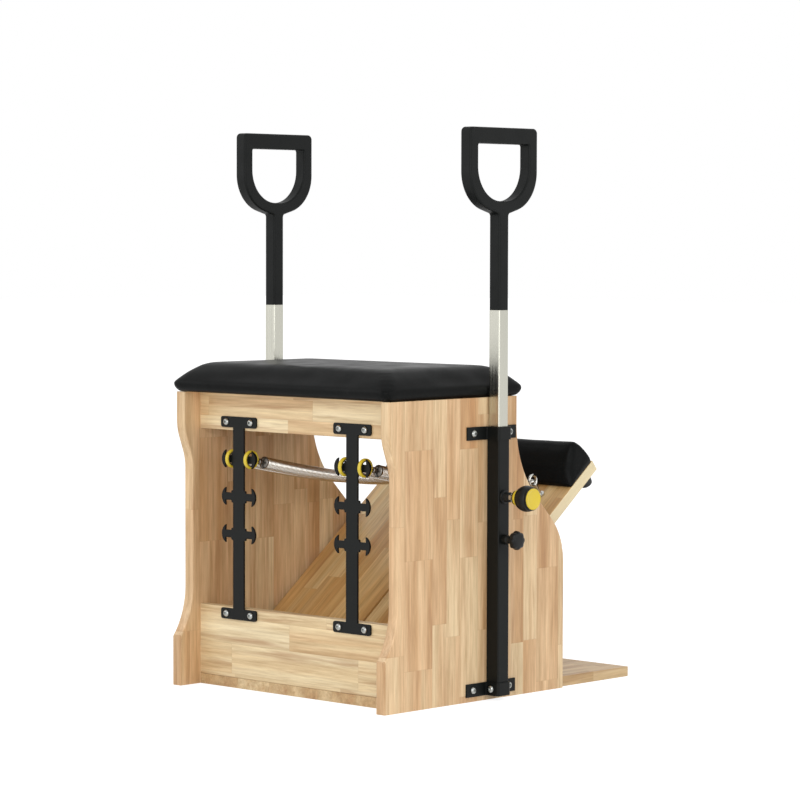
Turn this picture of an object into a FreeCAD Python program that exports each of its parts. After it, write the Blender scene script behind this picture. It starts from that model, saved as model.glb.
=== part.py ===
"""Pilates chair: stave-board frame, split sprung pedals, spring trees and sliding D-handles.

Frame: +Z up, the pedals face -Y, the sitter's left is +X, the origin is on the floor
under the middle of the chair. All lengths are in millimetres.
"""
import FreeCAD, Part
import math
import os
from FreeCAD import Vector

# Clearances and overruns
slide_gap = 0.3            # between a sliding or loose piece and its seat
running_gap = 0.05         # radial, between a pin and its bore
bolt_gap = 0.15            # radial, between a bolt and its hole
overrun = 5.0              # how far a cutting shape passes the face that it cuts

# Side panels
chair_width = 600.0        # over the outer faces of the panels
chair_depth = 748.0        # front edge of the base board to the back of the panel feet
panel_height = 600.0
panel_thick = 24.0
panel_ease = 3.0           # rounding of the panel edges
toe_reach = 526.0          # panel at the floor, front to back
head_reach = 369.5         # panel under the seat, front to back
head_setback = 11.0        # panel head behind the seat, ahead of the foot
waist_setback = 34.0       # waist of the back edge, ahead of the foot
foot_height = 100.0
foot_taper = 47.0          # rise from the foot to the corner of the waist
foot_round = 170.0
waist_drop = 138.0         # panel top to the corner where the waist widens into the head
head_drop = 75.0           # panel top to the corner where the head's back edge is upright
back_round = 100.0
nose_low = 311.0           # corner where the front slope leaves the toe edge
nose_low_round = 127.0
nose_high_round = 210.0

# Rails and base board
rail_thick = 24.0
rail_ease = 2.0
rail_setback = 56.0        # back face of the rails, ahead of the panel feet
top_rail_height = 76.0
bottom_rail_height = 143.4
front_rail_inset = 12.0    # front rail, behind the front of the panel heads
base_thick = 20.6
base_housing = 12.0        # depth of the rebate in the panels that holds the base board
base_ease = 2.0

# Seat
seat_side_overhang = 4.0   # past the outer faces of the panels
seat_front_overhang = 17.0 # past the front of the panel heads
seat_back_overhang = 10.5  # past the back of the panel heads
seat_thick = 65.0
seat_bevel = 50.0          # width of the sloping border of the cushion
seat_corner = 22.0
seat_drawn = 5.0           # how far each side is drawn in between its corners
seat_board_thick = 12.0
seat_board_inset = 20.0    # edge of the hidden board, inside the cushion's outline
seat_rise_shares = (0.0, 0.15, 0.32, 0.44, 0.82, 0.94, 1.0)
seat_inset_shares = (0.14, 0.03, 0.0, 0.09, 0.80, 1.10, 2.1)

# Spring trees
tree_spacing = 320.0       # between the two trees
tree_thick = 4.0
tree_bar_width = 31.0
tree_plate_width = 102.0
tree_plate_height = 22.0
tree_plate_round = 5.0
tree_top_inset = 6.0       # top plate, above the lower edge of the top rail
tree_bottom_inset = 2.0    # bottom plate, below the upper edge of the bottom rail
tree_bolt_spacing = 70.0
hook_levels = 3
hook_first_drop = 75.0     # first pair of hooks, below the top plate's middle
hook_pitch = 76.0
hook_span = 97.0           # over a pair of hooks
hook_height = 36.0         # tip to tip
hook_waist = 9.5           # thickness of a hook's head on its middle line
hook_tip_back = 11.0       # how far the tips lie behind the crown of the head
hook_neck = 15.0
hook_root = 25.0           # height of a neck where it leaves the bar
hook_root_reach = 5.0      # length of that wider root
hook_root_round = 3.0

# Spring rings, springs and spring hooks
ring_radius = 19.0
ring_hole_radius = 13.0
ring_thick = 8.0
ring_bevel = 2.0
ring_arm_radius = 4.5
spring_radius = 10.5       # to the middle of the wire
spring_wire = 4.0
spring_curls = 14
spring_lead = 13.0         # length of each end in which the wire turns into the coil
spring_ring_arm = 24.0     # ring centre to the near face of the end cup
spring_cup_thick = 5.0
spring_hook_arm = 41.0     # eye centre to the near face of the end cup
spring_sag = 35.0          # drop of the spring's control point below the straight line
spring_sag_share = 0.70    # place of that point along the straight line
hook_ring_radius = 9.0
hook_wire = 5.0
hook_arc_degrees = 310.0
wire_sides = 6

# Pedals
pedal_angle = 38.1         # slope of the pedals at rest, in degrees
pedal_thick = 24.0
pedal_reach = 656.0        # axle to the front end of the board
pedal_back_gap = 17.0      # axle to the back end of the board
pedal_side_gap = 12.0      # board to side panel
pedal_middle_gap = 6.0     # between the two boards
pedal_ease = 2.0
hinge_height = 40.0        # axle above the floor
hinge_setback = 69.0       # axle ahead of the bottom rail
axle_radius = 8.0
axle_seat = 12.0           # length of the axle inside each panel
bush_wall = 3.0
knuckle_wall = 3.0
bracket_width = 40.0
bracket_length = 120.0
bracket_thick = 3.0
bracket_inset = 28.0       # bracket, inside the side edge of its board
screw_radius = 2.2
screw_head_radius = 4.2
screw_length = 18.0
screw_end_inset = 15.0     # last screw, from the end of the bracket
screw_pitch = 55.0

# Pedal pads
pad_depth = 80.0
pad_height = 69.0
pad_end_inset = 4.0        # pad, behind the front end of the board
pad_bevel = 17.0           # width of the sloping ends of the pad
pad_round = 9.0
pad_drawn = 2.0            # how far the pad's long sides are drawn in at the middle
pad_profile_shares = ((0.0, 0.0), (0.0, 0.10), (0.27, 0.43), (0.97, 1.0), (1.0, 0.0))
pad_round_shares = (0.0, 0.5, 2.0, 1.2, 0.0)
pad_station_shares = (0.0, 0.5, 1.0)
pad_height_shares = (0.36, 0.78, 0.97)

# Pedal fittings
eyebolt_back = 113.0       # eyebolts, behind the front end of the board
eyebolt_splay = 80.0       # between the two eyebolts of a pedal
eyebolt_rise = 40.0        # eye centre above the board
eyebolt_radius = 4.0
eye_radius = 11.0
eye_wire = 6.0
eyebolt_collar_radius = 9.0
eyebolt_collar_thick = 4.0
eyebolt_nut_radius = 7.5
eyebolt_nut_thick = 5.0
bumper_radius = 16.0
bumper_tip_radius = 13.0
bumper_height = 26.0
bumper_end_inset = 20.0    # bumper centre from the end of the board
bumper_side_inset = 28.0   # bumper centre from the side of the board
bumper_round = 4.0

# Handles
tube_width = 32.0
tube_wall = 2.0
tube_round = 3.0
tube_top_drop = 57.0       # tube top below the panel top
tube_foot = 10.0           # tube bottom above the floor
tube_place = 68.0          # tube centre, behind the chair's middle
pole_wall = 2.0
pole_round = 2.5
pole_bottom = 190.0
pole_out = 229.0           # silver length that shows above the tube
index_pitch = 30.0
index_count = 9
index_radius = 5.5
plug_thick = 4.0
plug_depth = 16.0
grip_width = 198.0         # over the D, front to back
grip_thick = 28.0
grip_stem = 189.0          # stem below the D
grip_height = 169.0        # the D itself
grip_side_bar = 24.0
grip_top_bar = 32.0
grip_low_bar = 25.0
grip_corner = 10.0
grip_inner_corner = 5.0
grip_shoulder = 24.0       # corner of the shoulder, above the root of the D
grip_shoulder_round = 78.0
grip_root_round = 7.0
grip_inner_round = 68.0
grip_ease = 4.5
grip_spigot = 50.0

# Straps that hold the tubes
strap_thick = 3.0
strap_height = 26.0
strap_ear = 56.0
strap_bend = 5.0
strap_bolt_place = 53.0    # bolt from the middle of the ears
strap_shift = 4.0          # middle of the ears, behind the tube's middle
strap_bolt_length = 13.0

# Round-head bolts
bolt_radius = 3.0
bolt_head_radius = 7.2
bolt_head_thick = 4.4
bolt_head_bevel = 2.0
tree_bolt_length = 18.0

# Pull-pin knob
pin_radius = 5.0
pin_knob_drop = 139.0      # knob below the tube top
housing_radius = 8.0
housing_length = 38.0
housing_flange_radius = 13.5
housing_flange_thick = 4.5
collar_radius = 16.5
collar_thick = 6.0
core_radius = 12.0
barrel_length = 36.0
barrel_end_radius = 18.0
barrel_radius = 26.0
barrel_front_radius = 22.5
cap_radius = 21.0
cap_thick = 4.0
cap_round = 3.0

# Clamp knob
stud_radius = 4.0
clamp_knob_drop = 223.0    # knob below the tube top
boss_radius = 10.0
boss_length = 8.0
clamp_hub_radius = 9.0
clamp_hub_length = 18.0
clamp_radius = 19.0
clamp_thick = 16.0
clamp_lobes = 8
clamp_notch_radius = 4.0
clamp_notch_share = 1.08   # centre of the finger notches, as a share of the knob's radius

# Places that follow from the sizes above
half_width = chair_width / 2
inner_half = half_width - panel_thick
foot_back_y = chair_depth / 2
base_front_y = -chair_depth / 2
waist_back_y = foot_back_y - waist_setback
head_back_y = foot_back_y - head_setback
toe_front_y = foot_back_y - toe_reach
head_front_y = head_back_y - head_reach
nose_high = nose_low + head_front_y - toe_front_y
rail_back_y = foot_back_y - rail_setback
rail_front_y = rail_back_y - rail_thick
top_rail_low = panel_height - top_rail_height
bottom_rail_top = base_thick + bottom_rail_height
seat_middle_y = (head_back_y + seat_back_overhang + head_front_y - seat_front_overhang) / 2
seat_length = chair_width + 2 * seat_side_overhang
seat_depth = head_reach + seat_front_overhang + seat_back_overhang
tree_back_y = rail_back_y + tree_thick
tree_top_plate = top_rail_low + tree_top_inset + tree_plate_height / 2
tree_bottom_plate = bottom_rail_top - tree_bottom_inset - tree_plate_height / 2
hook_first = tree_top_plate - hook_first_drop
hook_inner = hook_span / 2 - hook_waist
ring_offset = (tree_bar_width / 2 + hook_span / 2 - hook_tip_back) / 2
hinge_y = rail_front_y - hinge_setback
pedal_outer = inner_half - pedal_side_gap
pedal_inner = pedal_middle_gap / 2
pedal_middle = (pedal_outer + pedal_inner) / 2
bush_radius = axle_radius + running_gap + bush_wall
knuckle_radius = bush_radius + knuckle_wall
eyebolt_reach = pedal_reach - eyebolt_back
tube_middle_x = half_width + tube_width / 2
tube_outer_x = half_width + tube_width
tube_top = panel_height - tube_top_drop
pole_width = tube_width - 2 * tube_wall - 2 * slide_gap
pole_inner = pole_width - 2 * pole_wall
pole_top = tube_top + pole_out
grip_root = pole_top + grip_stem
grip_top = grip_root + grip_height
pin_z = tube_top - pin_knob_drop
clamp_z = tube_top - clamp_knob_drop
tip_x = tube_middle_x + pole_width / 2 + slide_gap
collar_x = tube_outer_x + housing_length + slide_gap
barrel_x = collar_x + collar_thick
cap_x = barrel_x + barrel_length
clamp_hub_x = tube_outer_x + boss_length + slide_gap
clamp_head_x = clamp_hub_x + clamp_hub_length
strap_levels = (tube_foot, tube_top - strap_height)

X_AXIS = Vector(1, 0, 0)
Y_AXIS = Vector(0, 1, 0)
Z_AXIS = Vector(0, 0, 1)
ORIGIN = Vector(0, 0, 0)
SIDES = (("left", 1), ("right", -1))


def box(x_span, y_span, z_span):
    """Box between the two ends of each span."""
    corner = Vector(x_span[0], y_span[0], z_span[0])
    far = Vector(x_span[1], y_span[1], z_span[1])
    size = far - corner
    return Part.makeBox(size.x, size.y, size.z, corner)


def rod(radius, start, end):
    """Round rod from one point to another."""
    along = end - start
    return Part.makeCylinder(radius, along.Length, start, along)


def corner_reaches(points, radii):
    """Tangent length of each corner's rounding, limited by the sides that the corners share."""
    reaches = []
    for index, (here, radius) in enumerate(zip(points, radii)):
        before = points[index - 1] - here
        after = points[(index + 1) % len(points)] - here
        reaches.append(radius / math.tan(before.getAngle(after) / 2) if radius else 0)
    for index, here in enumerate(points):
        side = (here - points[index - 1]).Length
        wanted = reaches[index - 1] + reaches[index]
        if wanted > side:
            reaches[index - 1] *= side / wanted
            reaches[index] *= side / wanted
    return reaches


def rounded_wire(corners, place):
    """Closed wire of lines and tangent arcs through corners (a, b, radius)."""
    points = [Vector(a, b, 0) for a, b, _ in corners]
    reaches = corner_reaches(points, [radius for _, _, radius in corners])
    cuts = []
    for index, (here, reach) in enumerate(zip(points, reaches)):
        if reach == 0:
            cuts.append((here, None, here))
            continue
        before = (points[index - 1] - here).normalize()
        after = (points[(index + 1) % len(points)] - here).normalize()
        half = before.getAngle(after) / 2
        radius = reach * math.tan(half)
        middle = (before + after).normalize() * (radius / math.sin(half) - radius)
        cuts.append((here + before * reach, here + middle, here + after * reach))
    edges = []
    for index, (start, middle, end) in enumerate(cuts):
        if middle is not None:
            edges.append(Part.Arc(place(start), place(middle), place(end)).toShape())
        onward = cuts[(index + 1) % len(cuts)][0]
        if not onward.isEqual(end, Part.Precision.confusion()):
            edges.append(Part.LineSegment(place(end), place(onward)).toShape())
    return Part.Wire(edges)


def prism(corners, place, along):
    """Solid pushed out from a rounded outline."""
    return Part.Face(rounded_wire(corners, place)).extrude(along)


def turned(profile, start, along):
    """Solid of revolution: profile points (distance along, radius, rounding)."""
    wire = rounded_wire(profile, lambda p: Vector(p.x, p.y, 0))
    solid = Part.Face(wire).revolve(ORIGIN, X_AXIS, 360)
    solid.Placement = FreeCAD.Placement(start, FreeCAD.Rotation(X_AXIS, along))
    return solid


def open_ring(radius, wire, arc_degrees):
    """Ring of round wire about Z, centred on the origin and open past its arc."""
    section = Part.Wire(Part.makeCircle(wire / 2, X_AXIS * radius, Y_AXIS))
    return Part.Face(section).revolve(ORIGIN, Z_AXIS, arc_degrees)


def flat_edges(shape, normal, offset):
    """Edges that lie in the plane at an offset along a normal."""
    chosen = []
    for edge in shape.Edges:
        heights = [vertex.Point.dot(normal) for vertex in edge.Vertexes]
        heights.append(edge.CenterOfMass.dot(normal))
        if all(abs(height - offset) < slide_gap for height in heights):
            chosen.append(edge)
    return chosen


def ease_long_edges(solid, axis, radius):
    """Round the edges of a board that run along its length."""
    runs = []
    for edge in solid.Edges:
        way = edge.tangentAt(edge.FirstParameter)
        if way.cross(axis).Length < Part.Precision.confusion():
            runs.append(edge)
    return solid.makeFillet(radius, runs)


def mirrored(shape, side):
    """The piece for one side: as modelled on the left, mirrored on the right."""
    if side > 0:
        return shape
    return shape.mirror(ORIGIN, X_AXIS)


def write(name, solids):
    """Write the solids of one node to its file."""
    pieces = solids if isinstance(solids, list) else [solids]
    for piece in pieces:
        if not piece.isValid() or piece.Volume <= 0:
            raise ValueError(name + " has an invalid solid")
    shape = pieces[0] if len(pieces) == 1 else Part.makeCompound(pieces)
    shape.exportStep("parts/" + name + ".step")


def bolt(seat, inward, length):
    """Round-head bolt: its head stands on the seat and its shank goes inward."""
    head = [
        (-bolt_head_thick, 0, 0),
        (-bolt_head_thick, bolt_head_radius - bolt_head_bevel, 0),
        (bolt_head_bevel - bolt_head_thick, bolt_head_radius, 0),
        (0, bolt_head_radius, 0),
        (0, bolt_radius, 0),
        (length, bolt_radius, 0),
        (length, 0, 0),
    ]
    return turned(head, seat, inward)


def bolt_hole(seat, inward, length):
    """Cutter for the hole of a bolt that stands on the seat."""
    return rod(bolt_radius + bolt_gap, seat - inward * overrun, seat + inward * (length + bolt_gap))


def strap_bolt_places():
    """Points on a left panel's outer face where the strap bolts enter."""
    middle = tube_place + strap_shift
    places = []
    for level in strap_levels:
        for offset in (-strap_bolt_place, strap_bolt_place):
            places.append(Vector(half_width, middle + offset, level + strap_height / 2))
    return places


def tree_bolt_places(centre_x):
    """Points on the rails' back face where one tree's bolts enter."""
    places = []
    for level in (tree_top_plate, tree_bottom_plate):
        for offset in (-tree_bolt_spacing / 2, tree_bolt_spacing / 2):
            places.append(Vector(centre_x + offset, rail_back_y, level))
    return places


def side_panel():
    """Left panel: S-shaped front, waisted back, rebate for the base board, blind bores."""
    outline = [
        (toe_front_y, 0, 0),
        (toe_front_y, nose_low, nose_low_round),
        (head_front_y, nose_high, nose_high_round),
        (head_front_y, panel_height, 0),
        (head_back_y, panel_height, 0),
        (head_back_y, panel_height - head_drop, back_round),
        (waist_back_y, panel_height - waist_drop, back_round),
        (waist_back_y, foot_height + foot_taper, foot_round),
        (foot_back_y, foot_height, 0),
        (foot_back_y, 0, 0),
    ]
    panel = prism(outline, lambda p: Vector(inner_half, p.x, p.y), X_AXIS * panel_thick)
    eased = []
    for face_x in (inner_half, half_width):
        for edge in flat_edges(panel, X_AXIS, face_x):
            upright = edge.CenterOfMass.z > slide_gap and edge.CenterOfMass.z < panel_height - slide_gap
            if upright:
                eased.append(edge)
    panel = panel.makeFillet(panel_ease, eased)
    rebate = box(
        (inner_half - overrun, inner_half + base_housing),
        (toe_front_y - overrun, rail_back_y),
        (-overrun, base_thick),
    )
    panel = panel.cut(rebate)
    bore_start = Vector(inner_half - overrun, hinge_y, hinge_height)
    bore_end = Vector(inner_half + axle_seat, hinge_y, hinge_height)
    panel = panel.cut(rod(bush_radius, bore_start, bore_end))
    for seat in strap_bolt_places():
        panel = panel.cut(bolt_hole(seat, -X_AXIS, strap_bolt_length - strap_thick))
    return panel


def rail(y_span, z_span):
    """Rail between the panels, with its long edges eased."""
    return ease_long_edges(box((-inner_half, inner_half), y_span, z_span), X_AXIS, rail_ease)


def drilled_rail(z_span):
    """Back rail with the holes of the spring trees' bolts."""
    solid = rail((rail_front_y, rail_back_y), z_span)
    for _, side in SIDES:
        for seat in tree_bolt_places(side * tree_spacing / 2):
            if z_span[0] < seat.z < z_span[1]:
                solid = solid.cut(bolt_hole(seat, -Y_AXIS, tree_bolt_length - tree_thick))
    return solid


def base_board():
    """Floor board, housed in the panels and reaching forward under the pedals."""
    half = inner_half + base_housing
    board = box((-half, half), (base_front_y, rail_back_y), (0, base_thick))
    front_edges = flat_edges(board, Y_AXIS, base_front_y)
    level = [edge for edge in front_edges if abs(edge.CenterOfMass.x) < half - base_housing]
    return board.makeFillet(base_ease, level)


def cushion_wire(inset, level):
    """Cushion outline at one level: rounded corners, sides drawn in between them."""
    half_x = seat_length / 2 - inset
    half_y = seat_depth / 2 - inset
    cut = seat_corner * (1 - math.sqrt(0.5))
    edges = []
    sides = (
        (Vector(half_x, half_y - seat_corner), Vector(half_x - cut, half_y - cut),
         Vector(half_x - seat_corner, half_y), Vector(0, half_y - seat_drawn)),
        (Vector(seat_corner - half_x, half_y), Vector(cut - half_x, half_y - cut),
         Vector(-half_x, half_y - seat_corner), Vector(seat_drawn - half_x, 0)),
    )
    corners = list(sides)
    for side in sides:
        corners.append(tuple(-point for point in side))
    lift = Vector(0, seat_middle_y, level)
    for index, (start, bend, end, drawn) in enumerate(corners):
        onward = corners[(index + 1) % len(corners)][0]
        edges.append(Part.Arc(start + lift, bend + lift, end + lift).toShape())
        edges.append(Part.Arc(end + lift, drawn + lift, onward + lift).toShape())
    return Part.Wire(edges)


def seat_board_box():
    """Hidden board that carries the cushion."""
    half_x = seat_length / 2 - seat_board_inset
    half_y = seat_depth / 2 - seat_board_inset
    return box(
        (-half_x, half_x),
        (seat_middle_y - half_y, seat_middle_y + half_y),
        (panel_height, panel_height + seat_board_thick),
    )


def seat_cushion():
    """Crowned cushion with a sloping border, hollowed below for its board."""
    wires = []
    for rise, inset in zip(seat_rise_shares, seat_inset_shares):
        wires.append(cushion_wire(inset * seat_bevel, panel_height + rise * seat_thick))
    cushion = Part.makeLoft(wires, True, True)
    return cushion.cut(seat_board_box())


def hook_head(side):
    """Crescent head of one hook on the tree's middle line."""
    crown = side * hook_span / 2
    tip = crown - side * hook_tip_back
    inner = side * hook_inner
    half = hook_height / 2
    upper = Vector(tip, rail_back_y, half)
    lower = Vector(tip, rail_back_y, -half)
    outer_arc = Part.Arc(upper, Vector(crown, rail_back_y, 0), lower).toShape()
    inner_arc = Part.Arc(lower, Vector(inner, rail_back_y, 0), upper).toShape()
    return Part.Face(Part.Wire([outer_arc, inner_arc])).extrude(Y_AXIS * tree_thick)


def hook_necks(level):
    """Necks of one pair of hooks, wider where they leave the bar."""
    reach = hook_inner + hook_waist / 2
    root = tree_bar_width / 2 + hook_root_reach
    low, high = hook_neck / 2, hook_root / 2
    quarter = [
        (reach, low, 0),
        (root, low, hook_root_round / 2),
        (root, high, hook_root_round),
    ]
    outline = []
    for side_x, side_z in ((1, 1), (-1, 1), (-1, -1), (1, -1)):
        corners = quarter if side_x * side_z > 0 else reversed(quarter)
        outline.extend((side_x * x, side_z * z, radius) for x, z, radius in corners)
    return prism(outline, lambda p: Vector(p.x, rail_back_y, level + p.y), Y_AXIS * tree_thick)


def spring_tree(centre_x):
    """Flat steel tree: two bolted end plates, a bar and pairs of crescent hooks."""
    plate_y = (rail_back_y, tree_back_y)
    half_bar = tree_bar_width / 2
    tree = box((-half_bar, half_bar), plate_y, (tree_bottom_plate, tree_top_plate))
    half_plate = tree_plate_width / 2
    half_high = tree_plate_height / 2
    for level in (tree_top_plate, tree_bottom_plate):
        outline = [
            (-half_plate, level - half_high, tree_plate_round),
            (half_plate, level - half_high, tree_plate_round),
            (half_plate, level + half_high, tree_plate_round),
            (-half_plate, level + half_high, tree_plate_round),
        ]
        tree = tree.fuse(prism(outline, lambda p: Vector(p.x, rail_back_y, p.y), Y_AXIS * tree_thick))
    for step in range(hook_levels):
        level = hook_first - step * hook_pitch
        tree = tree.fuse(hook_necks(level))
        for _, side in SIDES:
            head = hook_head(side)
            head.translate(Z_AXIS * level)
            tree = tree.fuse(head)
    tree.translate(X_AXIS * centre_x)
    for seat in tree_bolt_places(centre_x):
        tree = tree.cut(bolt_hole(seat, -Y_AXIS, tree_thick))
    return tree.removeSplitter()


def tree_bolts():
    """Bolts of both spring trees."""
    bolts = []
    for _, side in SIDES:
        for seat in tree_bolt_places(side * tree_spacing / 2):
            bolts.append(bolt(seat + Y_AXIS * tree_thick, -Y_AXIS, tree_bolt_length))
    return bolts


def square_tube(width, wall, corner, z_span, centre):
    """Square tube with rounded corners."""
    half = width / 2
    outer = [(a * half, b * half, corner) for a, b in ((-1, -1), (1, -1), (1, 1), (-1, 1))]
    tube = prism(outer, lambda p: centre + Vector(p.x, p.y, z_span[0]), Z_AXIS * (z_span[1] - z_span[0]))
    if wall == 0:
        return tube
    half = half - wall
    bore = box((-half, half), (-half, half), (z_span[0] - overrun, z_span[1] + overrun))
    bore.translate(centre)
    return tube.cut(bore)


def tube_centre():
    """Axis of the left handle tube, at floor level."""
    return Vector(tube_middle_x, tube_place, 0)


def knob_axis(level, x):
    """Point on a knob's axis, at one distance from the chair's middle."""
    return Vector(x, tube_place, level)


def handle_tube():
    """Left tube, with holes for the pull pin and the clamp stud."""
    tube = square_tube(tube_width, tube_wall, tube_round, (tube_foot, tube_top), tube_centre())
    for level, radius in ((pin_z, pin_radius), (clamp_z, stud_radius)):
        start = knob_axis(level, tube_middle_x)
        end = knob_axis(level, tube_outer_x + overrun)
        tube = tube.cut(rod(radius + slide_gap, start, end))
    return tube


def handle_strap(level):
    """Hat-shaped strap over the left tube, with a bolted ear on each side."""
    half = tube_width / 2
    front_ear = strap_shift - half - strap_ear
    back_ear = strap_shift + half + strap_ear
    rise = half_width + strap_thick
    top = tube_outer_x + strap_thick
    outline = [
        (half_width, front_ear, 0),
        (half_width, -half, 0),
        (tube_outer_x, -half, tube_round),
        (tube_outer_x, half, tube_round),
        (half_width, half, 0),
        (half_width, back_ear, 0),
        (rise, back_ear, 0),
        (rise, half + strap_thick, strap_thick / 2),
        (top, half + strap_thick, strap_bend),
        (top, -half - strap_thick, strap_bend),
        (rise, -half - strap_thick, strap_thick / 2),
        (rise, front_ear, 0),
    ]
    strap = prism(outline, lambda p: Vector(p.x, tube_place + p.y, level), Z_AXIS * strap_height)
    for seat in strap_bolt_places():
        strap = strap.cut(bolt_hole(seat, -X_AXIS, 0))
    return strap


def strap_bolts():
    """Bolts of the left straps."""
    return [bolt(seat + X_AXIS * strap_thick, -X_AXIS, strap_bolt_length) for seat in strap_bolt_places()]


def handle_pole():
    """Left square pole, with index holes for the pull pin in its outer wall."""
    pole = square_tube(pole_width, pole_wall, pole_round, (pole_bottom, pole_top), tube_centre())
    for step in range(index_count):
        level = pin_z + (step - index_count // 2) * index_pitch
        start = knob_axis(level, tube_middle_x)
        end = knob_axis(level, tube_outer_x)
        pole = pole.cut(rod(index_radius, start, end))
    return pole


def pole_plug():
    """End plug in the bottom of the left pole."""
    width = pole_inner - 2 * bolt_gap
    spigot = square_tube(width, 0, pole_wall, (pole_bottom, pole_bottom + plug_depth), tube_centre())
    flange = square_tube(pole_width, 0, pole_round, (pole_bottom - plug_thick, pole_bottom), tube_centre())
    return flange.fuse(spigot)


def handle_grip():
    """Left D-grip with its stem and the spigot that holds it in the pole."""
    half = grip_width / 2
    stem = grip_thick / 2
    right_side = [
        (stem, pole_top, 0),
        (stem, grip_root, grip_root_round),
        (half, grip_root + grip_shoulder, grip_shoulder_round),
        (half, grip_top, grip_corner),
    ]
    outline = right_side + [(-a, b, radius) for a, b, radius in reversed(right_side)]
    opening_half = half - grip_side_bar
    opening_low = grip_root + grip_low_bar
    opening_top = grip_top - grip_top_bar
    opening = [
        (-opening_half, opening_low, grip_inner_round),
        (opening_half, opening_low, grip_inner_round),
        (opening_half, opening_top, grip_inner_corner),
        (-opening_half, opening_top, grip_inner_corner),
    ]
    near = tube_middle_x - grip_thick / 2

    def place(point):
        return Vector(near, tube_place + point.x, point.y)

    grip = prism(outline, place, X_AXIS * grip_thick)
    grip = grip.cut(prism(opening, place, X_AXIS * grip_thick))
    rims = [
        edge
        for face_x in (near, near + grip_thick)
        for edge in flat_edges(grip, X_AXIS, face_x)
        if edge.CenterOfMass.z > pole_top + slide_gap
    ]
    grip = grip.makeFillet(grip_ease, rims)
    width = pole_inner - 2 * bolt_gap
    spigot = square_tube(width, 0, pole_wall, (pole_top - grip_spigot, pole_top), tube_centre())
    return grip.fuse(spigot)


def plunger_housing():
    """Flanged sleeve on the left tube that guides the pull pin."""
    start = knob_axis(pin_z, tube_outer_x)
    end = knob_axis(pin_z, tube_outer_x + housing_length)
    flange = rod(housing_flange_radius, start, start + X_AXIS * housing_flange_thick)
    bore = rod(pin_radius + running_gap, start - X_AXIS * overrun, end + X_AXIS * overrun)
    return rod(housing_radius, start, end).fuse(flange).cut(bore)


def plunger_pin():
    """Pull pin: its tip stands just clear of the pole, its tail is in the knob."""
    return rod(pin_radius, knob_axis(pin_z, tip_x), knob_axis(pin_z, barrel_x + barrel_length / 2))


def plunger_core():
    """Yellow spool of the knob: inner collar, core and end cap."""
    end = cap_x + cap_thick
    profile = [
        (collar_x, 0, 0),
        (collar_x, collar_radius, cap_round / 2),
        (barrel_x, collar_radius, 0),
        (barrel_x, core_radius, 0),
        (cap_x, core_radius, 0),
        (cap_x, cap_radius, 0),
        (end, cap_radius, cap_round),
        (end, 0, 0),
    ]
    core = turned(profile, knob_axis(pin_z, 0), X_AXIS)
    return core.cut(plunger_pin())


def plunger_grip():
    """Black barrel of the knob, swollen in its middle."""
    profile = [
        Vector(barrel_x, core_radius, 0),
        Vector(barrel_x, barrel_end_radius, 0),
        Vector(cap_x, barrel_front_radius, 0),
        Vector(cap_x, core_radius, 0),
    ]
    swell = Vector(barrel_x + barrel_length / 2, barrel_radius, 0)
    edges = [
        Part.LineSegment(profile[0], profile[1]).toShape(),
        Part.Arc(profile[1], swell, profile[2]).toShape(),
        Part.LineSegment(profile[2], profile[3]).toShape(),
        Part.LineSegment(profile[3], profile[0]).toShape(),
    ]
    barrel = Part.Face(Part.Wire(edges)).revolve(ORIGIN, X_AXIS, 360)
    barrel.translate(knob_axis(pin_z, 0))
    return barrel


def clamp_boss():
    """Weld nut on the left tube for the clamp stud."""
    start = knob_axis(clamp_z, tube_outer_x)
    end = knob_axis(clamp_z, tube_outer_x + boss_length)
    bore = rod(stud_radius + running_gap, start - X_AXIS * overrun, end + X_AXIS * overrun)
    return rod(boss_radius, start, end).cut(bore)


def clamp_stud():
    """Stud of the clamp knob: its tip stands just clear of the pole."""
    tail = knob_axis(clamp_z, clamp_head_x + clamp_thick / 2)
    return rod(stud_radius, knob_axis(clamp_z, tip_x), tail)


def clamp_knob():
    """Lobed knob with a hub, bored for its stud."""
    end = clamp_head_x + clamp_thick
    profile = [
        (clamp_hub_x, 0, 0),
        (clamp_hub_x, clamp_hub_radius, 0),
        (clamp_head_x, clamp_hub_radius, 0),
        (clamp_head_x, clamp_radius, 0),
        (end, clamp_radius, 0),
        (end, 0, 0),
    ]
    knob = turned(profile, knob_axis(clamp_z, 0), X_AXIS)
    for lobe in range(clamp_lobes):
        turn = 2 * math.pi * lobe / clamp_lobes
        reach = Vector(0, math.cos(turn), math.sin(turn)) * (clamp_radius * clamp_notch_share)
        start = knob_axis(clamp_z, clamp_head_x - overrun) + reach
        knob = knob.cut(rod(clamp_notch_radius, start, start + X_AXIS * (clamp_thick + 2 * overrun)))
    return knob.cut(clamp_stud())


def on_pedal(shape):
    """Turn a piece modelled on a flat pedal, with the axle at the origin, to the rest slope."""
    shape.rotate(ORIGIN, X_AXIS, -pedal_angle)
    shape.translate(Vector(0, hinge_y, hinge_height))
    return shape


def pedal_point(x, reach, rise):
    """Place of a point that lies at a reach from the axle and a rise from the board's middle."""
    slope = math.radians(pedal_angle)
    y = hinge_y - reach * math.cos(slope) + rise * math.sin(slope)
    z = hinge_height + reach * math.sin(slope) + rise * math.cos(slope)
    return Vector(x, y, z)


def bracket_spans():
    """Spans along X of the two hinge brackets of the left pedal."""
    inner = pedal_inner + bracket_inset
    outer = pedal_outer - bracket_inset
    return ((inner, inner + bracket_width), (outer - bracket_width, outer))


def screw_places(span):
    """Points on the underside of a flat board where one bracket's screws enter."""
    middle = (span[0] + span[1]) / 2
    last = bracket_length - screw_end_inset
    return [Vector(middle, -reach, -pedal_thick / 2) for reach in (last, last - screw_pitch)]


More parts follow.
